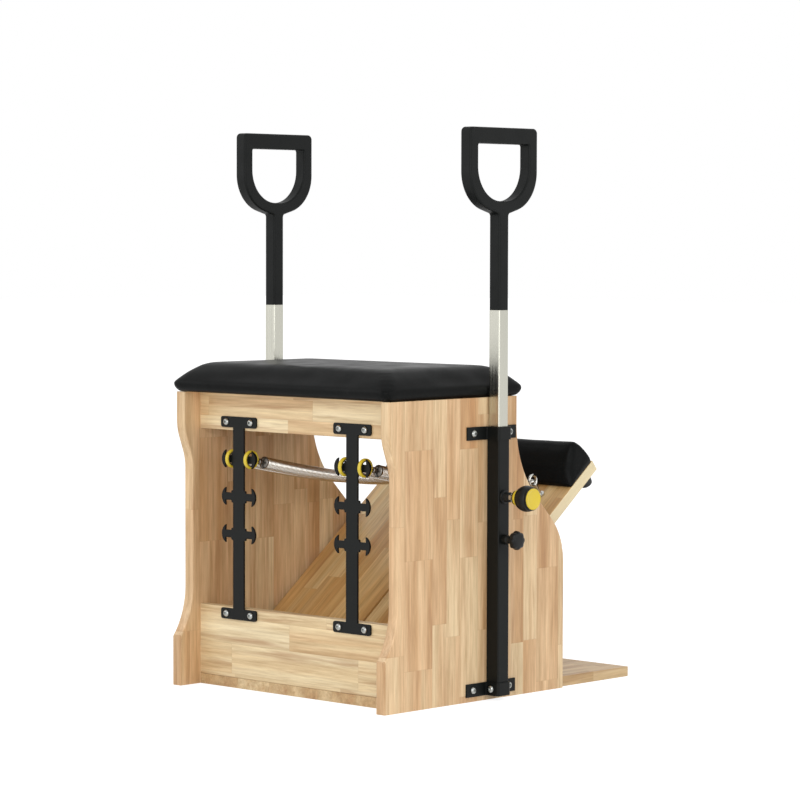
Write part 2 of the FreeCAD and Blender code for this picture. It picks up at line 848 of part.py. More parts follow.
def bracket_screw(seat):
    """Flat-head screw whose head is let into the bracket."""
    profile = [
        (0, 0, 0),
        (0, screw_head_radius, 0),
        (bracket_thick, screw_radius, 0),
        (screw_length, screw_radius, 0),
        (screw_length, 0, 0),
    ]
    return turned(profile, seat - Z_AXIS * bracket_thick, Z_AXIS)


def bracket_screws():
    """Screws of both brackets of the left pedal."""
    return [bracket_screw(seat) for span in bracket_spans() for seat in screw_places(span)]


def screw_cut(seat):
    """Cutter for the hole of a bracket screw."""
    head = seat - Z_AXIS * bracket_thick
    cone = Part.makeCone(screw_head_radius + bolt_gap, screw_radius + bolt_gap, bracket_thick, head, Z_AXIS)
    hole = rod(screw_radius + bolt_gap, seat - Z_AXIS * bolt_gap, head + Z_AXIS * (screw_length + bolt_gap))
    return cone.fuse(hole)


def eyebolt_places():
    """Distances from the chair's middle of the left pedal's eyebolts."""
    middle = tree_spacing / 2
    return (middle - eyebolt_splay / 2, middle + eyebolt_splay / 2)


def pedal_board():
    """Left pedal board, lying flat."""
    half = pedal_thick / 2
    board = box((pedal_inner, pedal_outer), (-pedal_reach, -pedal_back_gap), (-half, half))
    board = ease_long_edges(board, Y_AXIS, pedal_ease)
    for span in bracket_spans():
        for seat in screw_places(span):
            board = board.cut(screw_cut(seat))
    for x in eyebolt_places():
        start = Vector(x, -eyebolt_reach, -pedal_thick)
        board = board.cut(rod(eyebolt_radius + bolt_gap, start, start + Z_AXIS * (2 * pedal_thick)))
    return board


def hinge_brackets():
    """Strap brackets of the left pedal: a plate under the board and a knuckle on the axle."""
    brackets = []
    under = -pedal_thick / 2
    for span in bracket_spans():
        plate = box(span, (-bracket_length, 0), (under - bracket_thick, under))
        web = box(span, (-knuckle_radius, 0), (under - bracket_thick, 0))
        knuckle = rod(knuckle_radius, Vector(span[0], 0, 0), Vector(span[1], 0, 0))
        bracket = plate.fuse(web).fuse(knuckle)
        start = Vector(span[0] - overrun, 0, 0)
        bracket = bracket.cut(rod(bush_radius, start, Vector(span[1] + overrun, 0, 0)))
        for seat in screw_places(span):
            bracket = bracket.cut(screw_cut(seat))
        brackets.append(bracket.removeSplitter())
    return brackets


def hinge_bushes():
    """Plain bushes in the knuckles of the left pedal."""
    bushes = []
    for span in bracket_spans():
        start = Vector(span[0], 0, 0)
        end = Vector(span[1], 0, 0)
        bore = rod(axle_radius + running_gap, start - X_AXIS * overrun, end + X_AXIS * overrun)
        bushes.append(rod(bush_radius, start, end).cut(bore))
    return bushes


def pad_wire(x, height_share, drawn):
    """Section of the pad across its length, at one place."""
    front = -pedal_reach + pad_end_inset + drawn
    back = front + pad_depth - 2 * drawn
    base = pedal_thick / 2
    corners = []
    for (depth_share, rise_share), round_share in zip(pad_profile_shares, pad_round_shares):
        y = back + depth_share * (front - back)
        z = base + rise_share * pad_height * height_share
        corners.append((y, z, round_share * pad_round * height_share))
    return rounded_wire(corners, lambda p: Vector(x, p.x, p.y))


def pedal_pad():
    """Left foot pad: wedge section, crowned, sloping at both ends."""
    wires = []
    for place, height in zip(pad_station_shares, pad_height_shares):
        wires.append(pad_wire(pedal_inner + place * pad_bevel, height, 0))
    wires.append(pad_wire(pedal_middle, 1, pad_drawn))
    for place, height in zip(reversed(pad_station_shares), reversed(pad_height_shares)):
        wires.append(pad_wire(pedal_outer - place * pad_bevel, height, 0))
    return Part.makeLoft(wires, True, True)


def eyebolts():
    """Eyebolts of the left pedal, each with its collar and nut in one piece."""
    half = pedal_thick / 2
    bolts = []
    for x in eyebolt_places():
        foot = Vector(x, -eyebolt_reach, 0)
        top = foot + Z_AXIS * half
        low = foot - Z_AXIS * (half + eyebolt_nut_thick)
        centre = top + Z_AXIS * eyebolt_rise
        shank = rod(eyebolt_radius, low, centre - Z_AXIS * eye_radius)
        collar = rod(eyebolt_collar_radius, top, top + Z_AXIS * eyebolt_collar_thick)
        nut = rod(eyebolt_nut_radius, low, foot - Z_AXIS * half)
        eye = Part.makeTorus(eye_radius, eye_wire / 2, centre, X_AXIS)
        bolts.append(shank.fuse(collar).fuse(nut).fuse(eye))
    return bolts


def bumper():
    """Rubber bumper under the front outer corner of the left pedal."""
    profile = [
        (0, 0, 0),
        (0, bumper_radius, 0),
        (bumper_height, bumper_tip_radius, bumper_round),
        (bumper_height, 0, 0),
    ]
    seat = Vector(pedal_outer - bumper_side_inset, -pedal_reach + bumper_end_inset, -pedal_thick / 2)
    return turned(profile, seat, -Z_AXIS)


def ring_centre(ring_x):
    """Centre of a ring that is pulled forward on its hook's neck."""
    chord = math.sqrt((ring_hole_radius - slide_gap) ** 2 - (hook_neck / 2) ** 2)
    return Vector(ring_x, tree_back_y - chord, hook_first)


def spring_route(ring_x, eye_x):
    """Ring centre, control point and eye centre of one hanging spring."""
    ring = ring_centre(ring_x)
    eye = pedal_point(eye_x, eyebolt_reach, pedal_thick / 2 + eyebolt_rise)
    control = ring + (eye - ring) * spring_sag_share - Z_AXIS * spring_sag
    return ring, control, eye


def spring_places(side):
    """Ring and eye places along X of the two springs on one side."""
    middle = side * tree_spacing / 2
    places = []
    for name, out in (("inner", -side), ("outer", side)):
        places.append((name, middle + out * ring_offset, middle + out * eyebolt_splay / 2))
    return places


def spring_ring(ring_x, eye_x):
    """Ring on a hook's neck, with the arm and cup that hold the spring."""
    ring, control, _ = spring_route(ring_x, eye_x)
    along = (control - ring).normalize()
    half = ring_thick / 2
    profile = [
        (-half, 0, 0),
        (-half, ring_radius - ring_bevel, 0),
        (ring_bevel - half, ring_radius, 0),
        (half - ring_bevel, ring_radius, 0),
        (half, ring_radius - ring_bevel, 0),
        (half, 0, 0),
    ]
    solid = turned(profile, ring, X_AXIS)
    arm = rod(ring_arm_radius, ring + along * ring_hole_radius, ring + along * spring_ring_arm)
    cup_start = ring + along * spring_ring_arm
    cup = rod(spring_radius + spring_wire / 2, cup_start, cup_start + along * spring_cup_thick)
    hole = rod(ring_hole_radius, ring - X_AXIS * ring_thick, ring + X_AXIS * ring_thick)
    return solid.fuse(arm).fuse(cup).cut(hole)


def spring_hook(ring_x, eye_x):
    """Hook through a pedal's eye, with the cup that holds the spring."""
    _, control, eye = spring_route(ring_x, eye_x)
    along = (control - eye).normalize()
    across = along.cross(Z_AXIS).normalize()
    centre = eye + along * hook_ring_radius
    ring = open_ring(hook_ring_radius, hook_wire, hook_arc_degrees)
    turn = FreeCAD.Rotation(along, across, along.cross(across), "XYZ")
    ring.Placement = FreeCAD.Placement(centre, turn)
    arm_start = centre + along * hook_ring_radius
    cup_start = eye + along * spring_hook_arm
    arm = rod(hook_wire / 2, arm_start, cup_start)
    cup_end = cup_start + along * (spring_cup_thick - slide_gap)
    cup = rod(spring_radius + spring_wire / 2, cup_start, cup_end)
    return ring.fuse(arm).fuse(cup)


class SpringAxis:
    """Sagging middle line of a spring, walked by its length."""

    steps = 400

    def __init__(self, ring, control, eye):
        reach = spring_ring_arm + spring_cup_thick
        self.start = ring + (control - ring).normalize() * reach
        self.control = control
        self.end = eye + (control - eye).normalize() * (spring_hook_arm + spring_cup_thick)
        self.across = (self.end - self.start).cross(Z_AXIS).normalize()
        self.lengths = [0.0]
        for step in range(self.steps):
            run = self.at((step + 1) / self.steps) - self.at(step / self.steps)
            self.lengths.append(self.lengths[-1] + run.Length)
        self.length = self.lengths[-1]

    def at(self, t):
        """Point of the curve at parameter t."""
        return self.start * (1 - t) ** 2 + self.control * (2 * t * (1 - t)) + self.end * t ** 2

    def parameter(self, walked):
        """Parameter at a walked length."""
        for step in range(self.steps):
            if self.lengths[step + 1] >= walked:
                part = (walked - self.lengths[step]) / (self.lengths[step + 1] - self.lengths[step])
                return (step + part) / self.steps
        return 1.0

    def frame(self, walked):
        """Point, direction and the two cross directions at a walked length."""
        t = self.parameter(walked)
        along = (self.control - self.start) * (1 - t) + (self.end - self.control) * t
        along.normalize()
        across = (self.across - along * self.across.dot(along)).normalize()
        return self.at(t), along, across, along.cross(across)


def coil_point(axis, walked, turn):
    """Point of the wire's middle at a walked length and a turn in radians."""
    centre, _, across, up = axis.frame(walked)
    return centre + across * (spring_radius * math.cos(turn)) + up * (spring_radius * math.sin(turn))


def arc_beside(start, corner, end):
    """Arc from start to end whose tangents meet at the corner."""
    chord = (start + end) * 0.5
    height = (corner - chord).Length
    half = (end - start).Length / 2
    angle = math.atan2(height, half)
    if angle < Part.Precision.angular():
        return Part.LineSegment(start, end).toShape()
    sagitta = half * math.tan(angle / 2)
    return Part.Arc(start, chord + (corner - chord) * (sagitta / height), end).toShape()


def biarc(start, start_way, end, end_way):
    """Two arcs from start to end that leave and arrive along the given directions."""
    span = end - start
    a = 2 * (1 - start_way.dot(end_way))
    b = 2 * span.dot(start_way + end_way)
    c = -span.dot(span)
    reach = -c / b if a < Part.Precision.angular() else (math.sqrt(b * b - 4 * a * c) - b) / (2 * a)
    first = start + start_way * reach
    second = end - end_way * reach
    joint = (first + second) * 0.5
    return [arc_beside(start, first, joint), arc_beside(joint, second, end)]


def spring(name, ring_x, eye_x):
    """One coil spring as an unbroken tube, with straight ends square to the two cups."""
    axis = SpringAxis(*spring_route(ring_x, eye_x))
    coil = axis.length - 2 * spring_lead
    halves = 2 * spring_curls
    nudge = 1.0 / axis.steps

    def helix(share):
        return coil_point(axis, spring_lead + coil * share, 2 * math.pi * spring_curls * share)

    ends = []
    for walked, turn in ((0, -math.pi / 2), (axis.length, math.pi / 2)):
        ends.append((coil_point(axis, walked, turn), axis.frame(walked)[1]))
    nodes = [(ends[0][0] + ends[0][1] * spring_wire, ends[0][1])]
    for index in range(halves + 1):
        share = index / halves
        near = max(share - nudge / halves, 0.0)
        far = min(share + nudge / halves, 1.0)
        nodes.append((helix(share), (helix(far) - helix(near)).normalize()))
    nodes.append((ends[1][0] - ends[1][1] * spring_wire, ends[1][1]))
    edges = [Part.LineSegment(ends[0][0], nodes[0][0]).toShape()]
    for (start, start_way), (end, end_way) in zip(nodes, nodes[1:]):
        edges.extend(biarc(start, start_way, end, end_way))
    edges.append(Part.LineSegment(nodes[-1][0], ends[1][0]).toShape())
    path = Part.Wire(edges)
    print(name, "least gap to itself %.2f" % least_gap(path))
    return sweep_wire(path, ends[0][0], ends[0][1])


def sweep_wire(path, start, way):
    """Faceted wire swept along a path."""
    side = way.cross(Z_AXIS).normalize()
    rise = way.cross(side)
    corners = []
    for index in range(wire_sides):
        turn = 2 * math.pi * index / wire_sides
        corners.append(start + (side * math.cos(turn) + rise * math.sin(turn)) * (spring_wire / 2))
    section = Part.makePolygon(corners + corners[:1])
    return path.makePipeShell([section], True, False)


def least_gap(path):
    """Least gap between turns of the swept wire, measured on points along its path."""
    spacing = spring_wire / 2
    points = path.discretize(Distance=spacing)
    apart = math.ceil(math.pi * spring_radius / spacing)
    least = path.Length
    for index, point in enumerate(points):
        for other in points[index + apart:index + 4 * apart]:
            least = min(least, (other - point).Length)
    return least - spring_wire


def hinge_axle():
    """Axle of both pedals, held in the side panels."""
    end = inner_half + axle_seat - slide_gap
    return rod(axle_radius, Vector(-end, hinge_y, hinge_height), Vector(end, hinge_y, hinge_height))


def axle_bush():
    """Plain bush of the axle in the left panel."""
    start = Vector(inner_half, hinge_y, hinge_height)
    end = start + X_AXIS * axle_seat
    return rod(bush_radius, start, end).cut(rod(axle_radius + running_gap, start, end))


def write_frame():
    """Boards, seat, trees, tubes and the other fixed pieces."""
    write("top_back_rail", drilled_rail((top_rail_low, panel_height)))
    write("bottom_back_rail", drilled_rail((base_thick, bottom_rail_top)))
    front = head_front_y + front_rail_inset
    write("front_top_rail", rail((front, front + rail_thick), (top_rail_low, panel_height)))
    write("base_board", base_board())
    write("seat_board", seat_board_box())
    write("seat_cushion", seat_cushion())
    write("spring_tree_bolts", tree_bolts())
    write("hinge_axle", hinge_axle())
    straps = [handle_strap(level) for level in strap_levels]
    write("handle_straps", [mirrored(strap, side) for _, side in SIDES for strap in straps])
    write("strap_bolts", [mirrored(piece, side) for _, side in SIDES for piece in strap_bolts()])
    write("axle_bushes", [mirrored(axle_bush(), side) for _, side in SIDES])
    for name, side in SIDES:
        write("side_panel_" + name, mirrored(side_panel(), side))
        write("spring_tree_" + name, spring_tree(side * tree_spacing / 2))
        write("handle_tube_" + name, mirrored(handle_tube(), side))
        write("plunger_housing_" + name, mirrored(plunger_housing(), side))
        write("clamp_boss_" + name, mirrored(clamp_boss(), side))


def write_handles():
    """Sliding handles, pull pins and clamp knobs."""
    makers = {
        "handle_pole_": handle_pole,
        "pole_plug_": pole_plug,
        "handle_grip_": handle_grip,
        "plunger_pin_": plunger_pin,
        "plunger_core_": plunger_core,
        "plunger_grip_": plunger_grip,
        "clamp_stud_": clamp_stud,
        "clamp_knob_": clamp_knob,
    }
    for stem, make in makers.items():
        for name, side in SIDES:
            write(stem + name, mirrored(make(), side))


def write_pedals():
    """Pedals with their hinges, pads and fittings."""
    makers = {
        "pedal_board_": lambda: [pedal_board()],
        "pedal_pad_": lambda: [pedal_pad()],
        "hinge_brackets_": hinge_brackets,
        "hinge_bushes_": hinge_bushes,
        "bracket_screws_": bracket_screws,
        "eyebolts_": eyebolts,
        "pedal_bumper_": lambda: [bumper()],
    }
    for stem, make in makers.items():
        for name, side in SIDES:
            write(stem + name, [mirrored(on_pedal(piece), side) for piece in make()])


def write_springs():
    """Springs with the rings and hooks that hold them."""
    rings = []
    for name, side in SIDES:
        hooks = []
        for place, ring_x, eye_x in spring_places(side):
            rings.append(spring_ring(ring_x, eye_x))
            hooks.append(spring_hook(ring_x, eye_x))
            node = "spring_" + name + "_" + place
            write(node, spring(node, ring_x, eye_x))
        write("spring_hooks_" + name, hooks)
    write("spring_rings", rings)


def main():
    os.makedirs("parts", exist_ok=True)
    write_frame()
    write_handles()
    write_pedals()
    write_springs()


main()
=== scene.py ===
"""Looks of the pilates chair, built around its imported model.

The frame is in metres: +Z up, the pedals face -Y and the sitter's left is +X. Boards, tubes and most
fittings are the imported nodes, which get their finishes here. The padded seat and foot pads, the wound
springs with their rings, the bolt heads and the knobs are modelled here.
"""
from __future__ import annotations

import logging
import math
from dataclasses import dataclass, field
from enum import Enum
from typing import Any

import bpy
from mathutils import Matrix, Quaternion, Vector

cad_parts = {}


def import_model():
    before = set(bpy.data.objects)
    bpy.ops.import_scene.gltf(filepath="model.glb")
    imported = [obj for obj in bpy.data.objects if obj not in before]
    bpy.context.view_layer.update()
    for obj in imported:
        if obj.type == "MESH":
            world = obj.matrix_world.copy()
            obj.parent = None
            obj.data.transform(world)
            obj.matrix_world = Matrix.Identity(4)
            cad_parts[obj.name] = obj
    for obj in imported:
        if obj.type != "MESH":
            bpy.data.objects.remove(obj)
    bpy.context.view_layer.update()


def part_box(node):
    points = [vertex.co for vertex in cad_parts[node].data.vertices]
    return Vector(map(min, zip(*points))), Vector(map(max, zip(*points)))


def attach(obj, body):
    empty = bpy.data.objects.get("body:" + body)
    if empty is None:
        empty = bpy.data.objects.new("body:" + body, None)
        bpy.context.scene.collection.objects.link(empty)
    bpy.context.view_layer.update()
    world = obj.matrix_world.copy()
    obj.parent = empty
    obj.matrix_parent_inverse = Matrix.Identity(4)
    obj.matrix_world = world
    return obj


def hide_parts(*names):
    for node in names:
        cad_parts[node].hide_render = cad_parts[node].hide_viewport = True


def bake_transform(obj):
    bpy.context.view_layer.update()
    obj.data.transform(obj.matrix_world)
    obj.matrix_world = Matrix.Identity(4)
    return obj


LOG = logging.getLogger("pilates_chair")
MM = 0.001
SIDES = (("left", 1.0), ("right", -1.0))
NOISE_LOW, NOISE_HIGH = 0.3, 0.7  # where most values of a noise lie
Tree = bpy.types.NodeTree
Node = bpy.types.Node
Socket = bpy.types.NodeSocket
Piece = bpy.types.Object
Profile = tuple[tuple[float, float], ...]


def scaled(*points: tuple[float, float]) -> Profile:
    """Profile in metres from radii and heights in millimetres."""
    return tuple((radius * MM, height * MM) for radius, height in points)


def linear(code: str) -> tuple[float, float, float, float]:
    """Turn an sRGB hex colour into linear red, green, blue and alpha.

    Args:
        code: Colour such as "#d3b08a".

    Returns:
        Four linear values.
    """
    values = []
    for start in (1, 3, 5):
        share = int(code[start:start + 2], 16) / 255
        values.append(share / 12.92 if share <= 0.04045 else ((share + 0.055) / 1.055) ** 2.4)
    return (values[0], values[1], values[2], 1.0)


def add_node(tree: Tree, kind: str, inputs: dict | None = None, **settings: Any) -> Node:
    """Add one shader node with its settings, values and links.

    Args:
        tree: Node tree that takes the node.
        kind: Blender's name for the node type, after the word ShaderNode.
        inputs: Input name or number to a plain value or to another node's output.
        settings: Properties of the node itself.

    Returns:
        The new node.
    """
    node = tree.nodes.new("ShaderNode" + kind)
    for name, value in settings.items():
        setattr(node, name, value)
    for name, value in (inputs or {}).items():
        if isinstance(value, Socket):
            tree.links.new(value, node.inputs[name])
        else:
            node.inputs[name].default_value = value
    return node


def fresh_tree(owner: bpy.types.ID) -> Tree:
    """Empty node tree of a material or a world."""
    owner.use_nodes = True
    owner.node_tree.nodes.clear()
    return owner.node_tree


class Grain(Enum):
    """Which way the staves of a board run: the axes across, along and through it."""

    UPRIGHT = ("Y", "Z", "X")
    SIDEWAYS = ("Z", "X", "Y")
    FORWARD = ("X", "Y", "Z")


@dataclass(frozen=True)
class Finish:
    """One finish: its name, the record's slot, its main colour and its gloss."""

    name: str
    slot: str
    colour: str
    roughness: float
    metallic: float = 0.0
    specular: float = 0.5

    def material(self) -> bpy.types.Material:
        """Return the finish's material, made at its first use."""
        found = bpy.data.materials.get(self.name)
        if found is not None:
            return found
        made = bpy.data.materials.new(self.name)
        tree = fresh_tree(made)
        constants = {
            "Base Color": linear(self.colour),
            "Roughness": self.roughness,
            "Metallic": self.metallic,
            "Specular IOR Level": self.specular,
        }
        shader = add_node(tree, "BsdfPrincipled", constants)
        add_node(tree, "OutputMaterial", {"Surface": shader.outputs[0]})
        self.paint(tree, shader)
        return made

    def paint(self, tree: Tree, shader: Node) -> None:
        """Add the pattern of the finish to its shader; each kind of finish has its own."""
        raise NotImplementedError

    @staticmethod
    def emboss(tree: Tree, shader: Node, height: Socket, strength: float, depth: float) -> None:
        """Let a height catch the light as a relief of that depth."""
        bump = add_node(tree, "Bump", {"Height": height, "Strength": strength, "Distance": depth})
        tree.links.new(bump.outputs[0], shader.inputs["Normal"])

    @staticmethod
    def vary_gloss(tree: Tree, shader: Node, source: Socket, low: float, high: float) -> None:
        """Let a noise move the roughness between two values."""
        span = {"Value": source, "From Min": NOISE_LOW, "From Max": NOISE_HIGH, "To Min": low, "To Max": high}
        gloss = add_node(tree, "MapRange", span)
        tree.links.new(gloss.outputs[0], shader.inputs["Roughness"])


@dataclass(frozen=True)
class StaveWood(Finish):
    """Rubberwood staves, glued edge to edge and butted end to end, under a satin lacquer.

    The eye sees soft strips of tan, pinkish and straw colour, with brown streaks and fine pores along them.
    """

    grain: Grain = Grain.UPRIGHT
    tones: tuple[str, ...] = ("#bb8c5d", "#cba274", "#d8b48a", "#dec097", "#e4cca4", "#ead9b4")
    streak: str = "#a27145"
    glue: str = "#8d6740"
    # Colour of the painted highlight on the pedals' outer sides
    pale: str = "#ece3bf"
    contrast: float = 0.5
    stave_width: float = 50 * MM
    stave_length: float = 230 * MM
    width_swing: float = 1.5
    length_swing: float = 0.6
    swing_scale: float = 0.33
    stave_jump: float = 7.0
    grain_jump: float = 3.0
    drawn_out: float = 0.05
    drift_width: float = 40 * MM
    drift_gain: float = 1.1
    drift_start: float = 0.2
    # Pores are tenths of a millimetre; drawn about 5 mm wide so that they show
    pore_width: float = 5 * MM
    band_width: float = 22 * MM
    band_share: float = 0.8
    streak_width: float = 15 * MM
    # The glue lines are a few tenths of a millimetre; drawn 1 mm wide so that they show
    glue_width: float = 1 * MM
    glue_share: float = 0.16
    side_highlight_share: float = 0.7
    coat: float = 0.12
    coat_roughness: float = 0.35
    tilt: float = 0.0
    seed: float = 0.0
    side_highlight_beyond: float | None = None

    def paint(self, tree: Tree, shader: Node) -> None:
        """Lay out the staves in Object coordinates and draw grain along each of them."""
        place = add_node(tree, "TexCoord").outputs["Object"]
        turned = add_node(tree, "Mapping", {"Vector": place, "Rotation": (self.tilt, 0.0, 0.0)})
        axes = add_node(tree, "SeparateXYZ", {"Vector": turned.outputs[0]})
        across, along, through = (axes.outputs[axis] for axis in self.grain.value)
        strip = self.uneven(tree, across, self.stave_width, self.width_swing, self.seed)
        row = add_node(tree, "Math", {0: strip}, operation="FLOOR").outputs[0]
        start = add_node(tree, "TexWhiteNoise", {"W": row}, noise_dimensions="1D")
        shift = add_node(tree, "Math", {0: start.outputs["Value"], 1: self.stave_jump}, operation="MULTIPLY")
        run = self.uneven(tree, along, self.stave_length, self.length_swing, shift.outputs[0])
        stave = add_node(tree, "Math", {0: run}, operation="FLOOR")
        cell = add_node(tree, "CombineXYZ", {"X": row, "Y": stave.outputs[0]})
        pick = add_node(tree, "TexWhiteNoise", {"Vector": cell.outputs[0]}, noise_dimensions="2D")
        grain = self.grain_place(tree, (across, along, through), pick.outputs["Color"])
        shade = self.shade(tree, grain)
        # Late wood and pores darken towards brown, early wood lightens towards straw
        late, early = (0.66, 0.58, 0.48, 1.0), (1.22, 1.24, 1.26, 1.0)
        tint = add_node(tree, "Mix", {"Factor": shade, "A": late, "B": early}, data_type="RGBA")
        layers = [
            ("MULTIPLY", 1.0, tint.outputs["Result"]),
            ("MIX", self.streaks(tree, grain), linear(self.streak)),
            ("MIX", self.joints(tree, strip, run), linear(self.glue)),
        ]
        # Painted highlight: the pedals' outer sides are made pale, lighter than their shaded tops
        if self.side_highlight_beyond is not None:
            layers.append(("MIX", self.painted_side_highlight(tree, axes.outputs["X"]), linear(self.pale)))
        colour = self.tone(tree, pick.outputs["Value"], grain)
        for blend, share, layer in layers:
            inputs = {"Factor": share, "A": colour, "B": layer}
            colour = add_node(tree, "Mix", inputs, data_type="RGBA", blend_type=blend).outputs["Result"]
        tree.links.new(colour, shader.inputs["Base Color"])
        self.emboss(tree, shader, shade, strength=0.12, depth=0.4 * MM)
        shader.inputs["Coat Weight"].default_value = self.coat
        shader.inputs["Coat Roughness"].default_value = self.coat_roughness

    def painted_side_highlight(self, tree: Tree, place: Socket) -> Socket:
        """Share of the painted highlight that makes the outer sides pale, beyond a distance from the chair's middle.
        """
        away = add_node(tree, "Math", {0: place}, operation="ABSOLUTE")
        edge = add_node(tree, "Math", {0: away.outputs[0], 1: self.side_highlight_beyond}, operation="GREATER_THAN")
        return add_node(tree, "Math", {0: edge.outputs[0], 1: self.side_highlight_share}, operation="MULTIPLY").outputs[0]

    def uneven(self, tree: Tree, place: Socket, size: float, swing: float, shift: float | Socket) -> Socket:
        """Count staves of uneven size along one axis.

        Args:
            tree: Node tree of the material.
            place: Coordinate on the axis.
            size: Mean size of a stave on that axis.
            swing: How far the count strays from even staves.
            shift: Where the count starts.

        Returns:
            The count, whose whole part is the number of the stave.
        """
        even = add_node(tree, "Math", {0: place, 1: 1 / size, 2: shift}, operation="MULTIPLY_ADD").outputs[0]
        noise = {"W": even, "Scale": self.swing_scale, "Detail": 0.0}
        stray = add_node(tree, "TexNoise", noise, noise_dimensions="1D").outputs[0]
        return add_node(tree, "Math", {0: stray, 1: swing, 2: even}, operation="MULTIPLY_ADD").outputs[0]

    def tone(self, tree: Tree, pick: Socket, grain: Socket) -> Socket:
        """Colour of each stave, which drifts a little along it.

        Args:
            tree: Node tree of the material.
            pick: Random value of the stave.
            grain: Coordinates of the grain.

        Returns:
            A colour socket.
        """
        noise = {"Vector": grain, "Scale": 1 / self.drift_width, "Detail": 2.0, "Distortion": 0.5}
        drift = add_node(tree, "TexNoise", noise).outputs[0]
        spread = {0: drift, 1: self.drift_gain, 2: self.drift_start - self.contrast}
        mixed = add_node(tree, "Math", spread, operation="MULTIPLY_ADD")
        level = {0: pick, 1: self.contrast, 2: mixed.outputs[0]}
        ramp = add_node(tree, "ValToRGB", {"Fac": add_node(tree, "Math", level, operation="MULTIPLY_ADD").outputs[0]})
        steps = ramp.color_ramp.elements
        steps[0].color = linear(self.tones[0])
        steps[1].color = linear(self.tones[-1])
        for index in range(1, len(self.tones) - 1):
            steps.new(index / (len(self.tones) - 1)).color = linear(self.tones[index])
        return ramp.outputs[0]

    def grain_place(self, tree: Tree, axes: tuple[Socket, Socket, Socket], jump: Socket) -> Socket:
        """Coordinates for the grain, drawn out along the stave and started afresh on each one.

        Args:
            tree: Node tree of the material.
            axes: Coordinates across, along and through the board.
            jump: Random colour of the stave, which moves its grain.

        Returns:
            A vector socket.
        """
        across, along, through = axes
        drawn = add_node(tree, "Math", {0: along, 1: self.drawn_out}, operation="MULTIPLY")
        lengthwise = add_node(tree, "CombineXYZ", {"X": across, "Y": drawn.outputs[0], "Z": through})
        moved = {0: jump, 1: (self.grain_jump,) * 3, 2: lengthwise.outputs[0]}
        return add_node(tree, "VectorMath", moved, operation="MULTIPLY_ADD").outputs[0]

    def shade(self, tree: Tree, grain: Socket) -> Socket:
        """Light and dark of the pores and of the growth bands that wander along a stave, from 0 to 1."""
        pores = {"Vector": grain, "Scale": 1 / self.pore_width, "Detail": 5.0, "Roughness": 0.7}
        bands = {"Vector": grain, "Scale": 1 / self.band_width, "Detail": 2.0, "Distortion": 0.9}
        fine, broad = (add_node(tree, "TexNoise", noise).outputs[0] for noise in (pores, bands))
        both = add_node(tree, "Math", {0: broad, 1: self.band_share, 2: fine}, operation="MULTIPLY_ADD")
        return add_node(tree, "MapRange", {"Value": both.outputs[0], "From Min": 0.55, "From Max": 1.25}).outputs[0]

    def streaks(self, tree: Tree, grain: Socket) -> Socket:
        """Share of the brown streaks that some staves carry, about 8 mm wide and far apart."""
        noise = {"Vector": grain, "Scale": 1 / self.streak_width, "Detail": 3.0, "Roughness": 0.6, "Distortion": 0.4}
        bands = add_node(tree, "TexNoise", noise).outputs[0]
        span = {"Value": bands, "From Min": 0.53, "From Max": 0.74, "To Min": 0.0, "To Max": 0.65}
        return add_node(tree, "MapRange", span).outputs[0]

    def joints(self, tree: Tree, strip: Socket, run: Socket) -> Socket:
        """Share of the glue lines, from the places across and along the board counted in staves."""
        marks = []
        for place, size in ((strip, self.stave_width), (run, self.stave_length)):
            part = add_node(tree, "Math", {0: place}, operation="FRACT").outputs[0]
            mark = add_node(tree, "Math", {0: part, 1: self.glue_width / size}, operation="LESS_THAN")
            marks.append(mark.outputs[0])
        either = add_node(tree, "Math", {0: marks[0], 1: marks[1]}, operation="MAXIMUM")
        return add_node(tree, "Math", {0: either.outputs[0], 1: self.glue_share}, operation="MULTIPLY").outputs[0]


@dataclass(frozen=True)
class Crested(Finish):
    """A finish whose raised grain is painted lighter than the ground between: a painted highlight on its crests."""

    # Colour of the painted highlight on the crests
    crest_highlight: str = "#151716"

    def paint_crest_highlight(self, tree: Tree, shader: Node, share: Socket) -> None:
        """Mix the painted highlight colour of the crests into the main one."""
        ends = {"Factor": share, "A": linear(self.colour), "B": linear(self.crest_highlight)}
        tone = add_node(tree, "Mix", ends, data_type="RGBA")
        tree.links.new(tone.outputs["Result"], shader.inputs["Base Color"])


@dataclass(frozen=True)
class Leatherette(Crested):
    """PVC leatherette with an embossed pebble grain: soft wide highlights, never quite even."""

    crest_highlight: str = "#131414"
    pebble: float = 2.4 * MM
    crease: float = 45 * MM
    crease_share: float = 0.8

    def paint(self, tree: Tree, shader: Node) -> None:
        """Emboss the pebbles, drawn about twice their size so that they show."""
        place = add_node(tree, "TexCoord").outputs["Object"]
        cells = add_node(tree, "TexVoronoi", {"Vector": place, "Scale": 1 / self.pebble}, feature="SMOOTH_F1")
        pebbles = cells.outputs["Distance"]
        creases = add_node(tree, "TexNoise", {"Vector": place, "Scale": 1 / self.crease, "Detail": 3.0}).outputs[0]
        height = add_node(tree, "Math", {0: creases, 1: self.crease_share, 2: pebbles}, operation="MULTIPLY_ADD")
        self.emboss(tree, shader, height.outputs[0], strength=0.2, depth=0.5 * MM)
        # Painted highlight: the raised pebbles are coloured lighter than the ground between them
        self.paint_crest_highlight(tree, shader, pebbles)
        self.vary_gloss(tree, shader, creases, low=self.roughness - 0.05, high=self.roughness + 0.06)


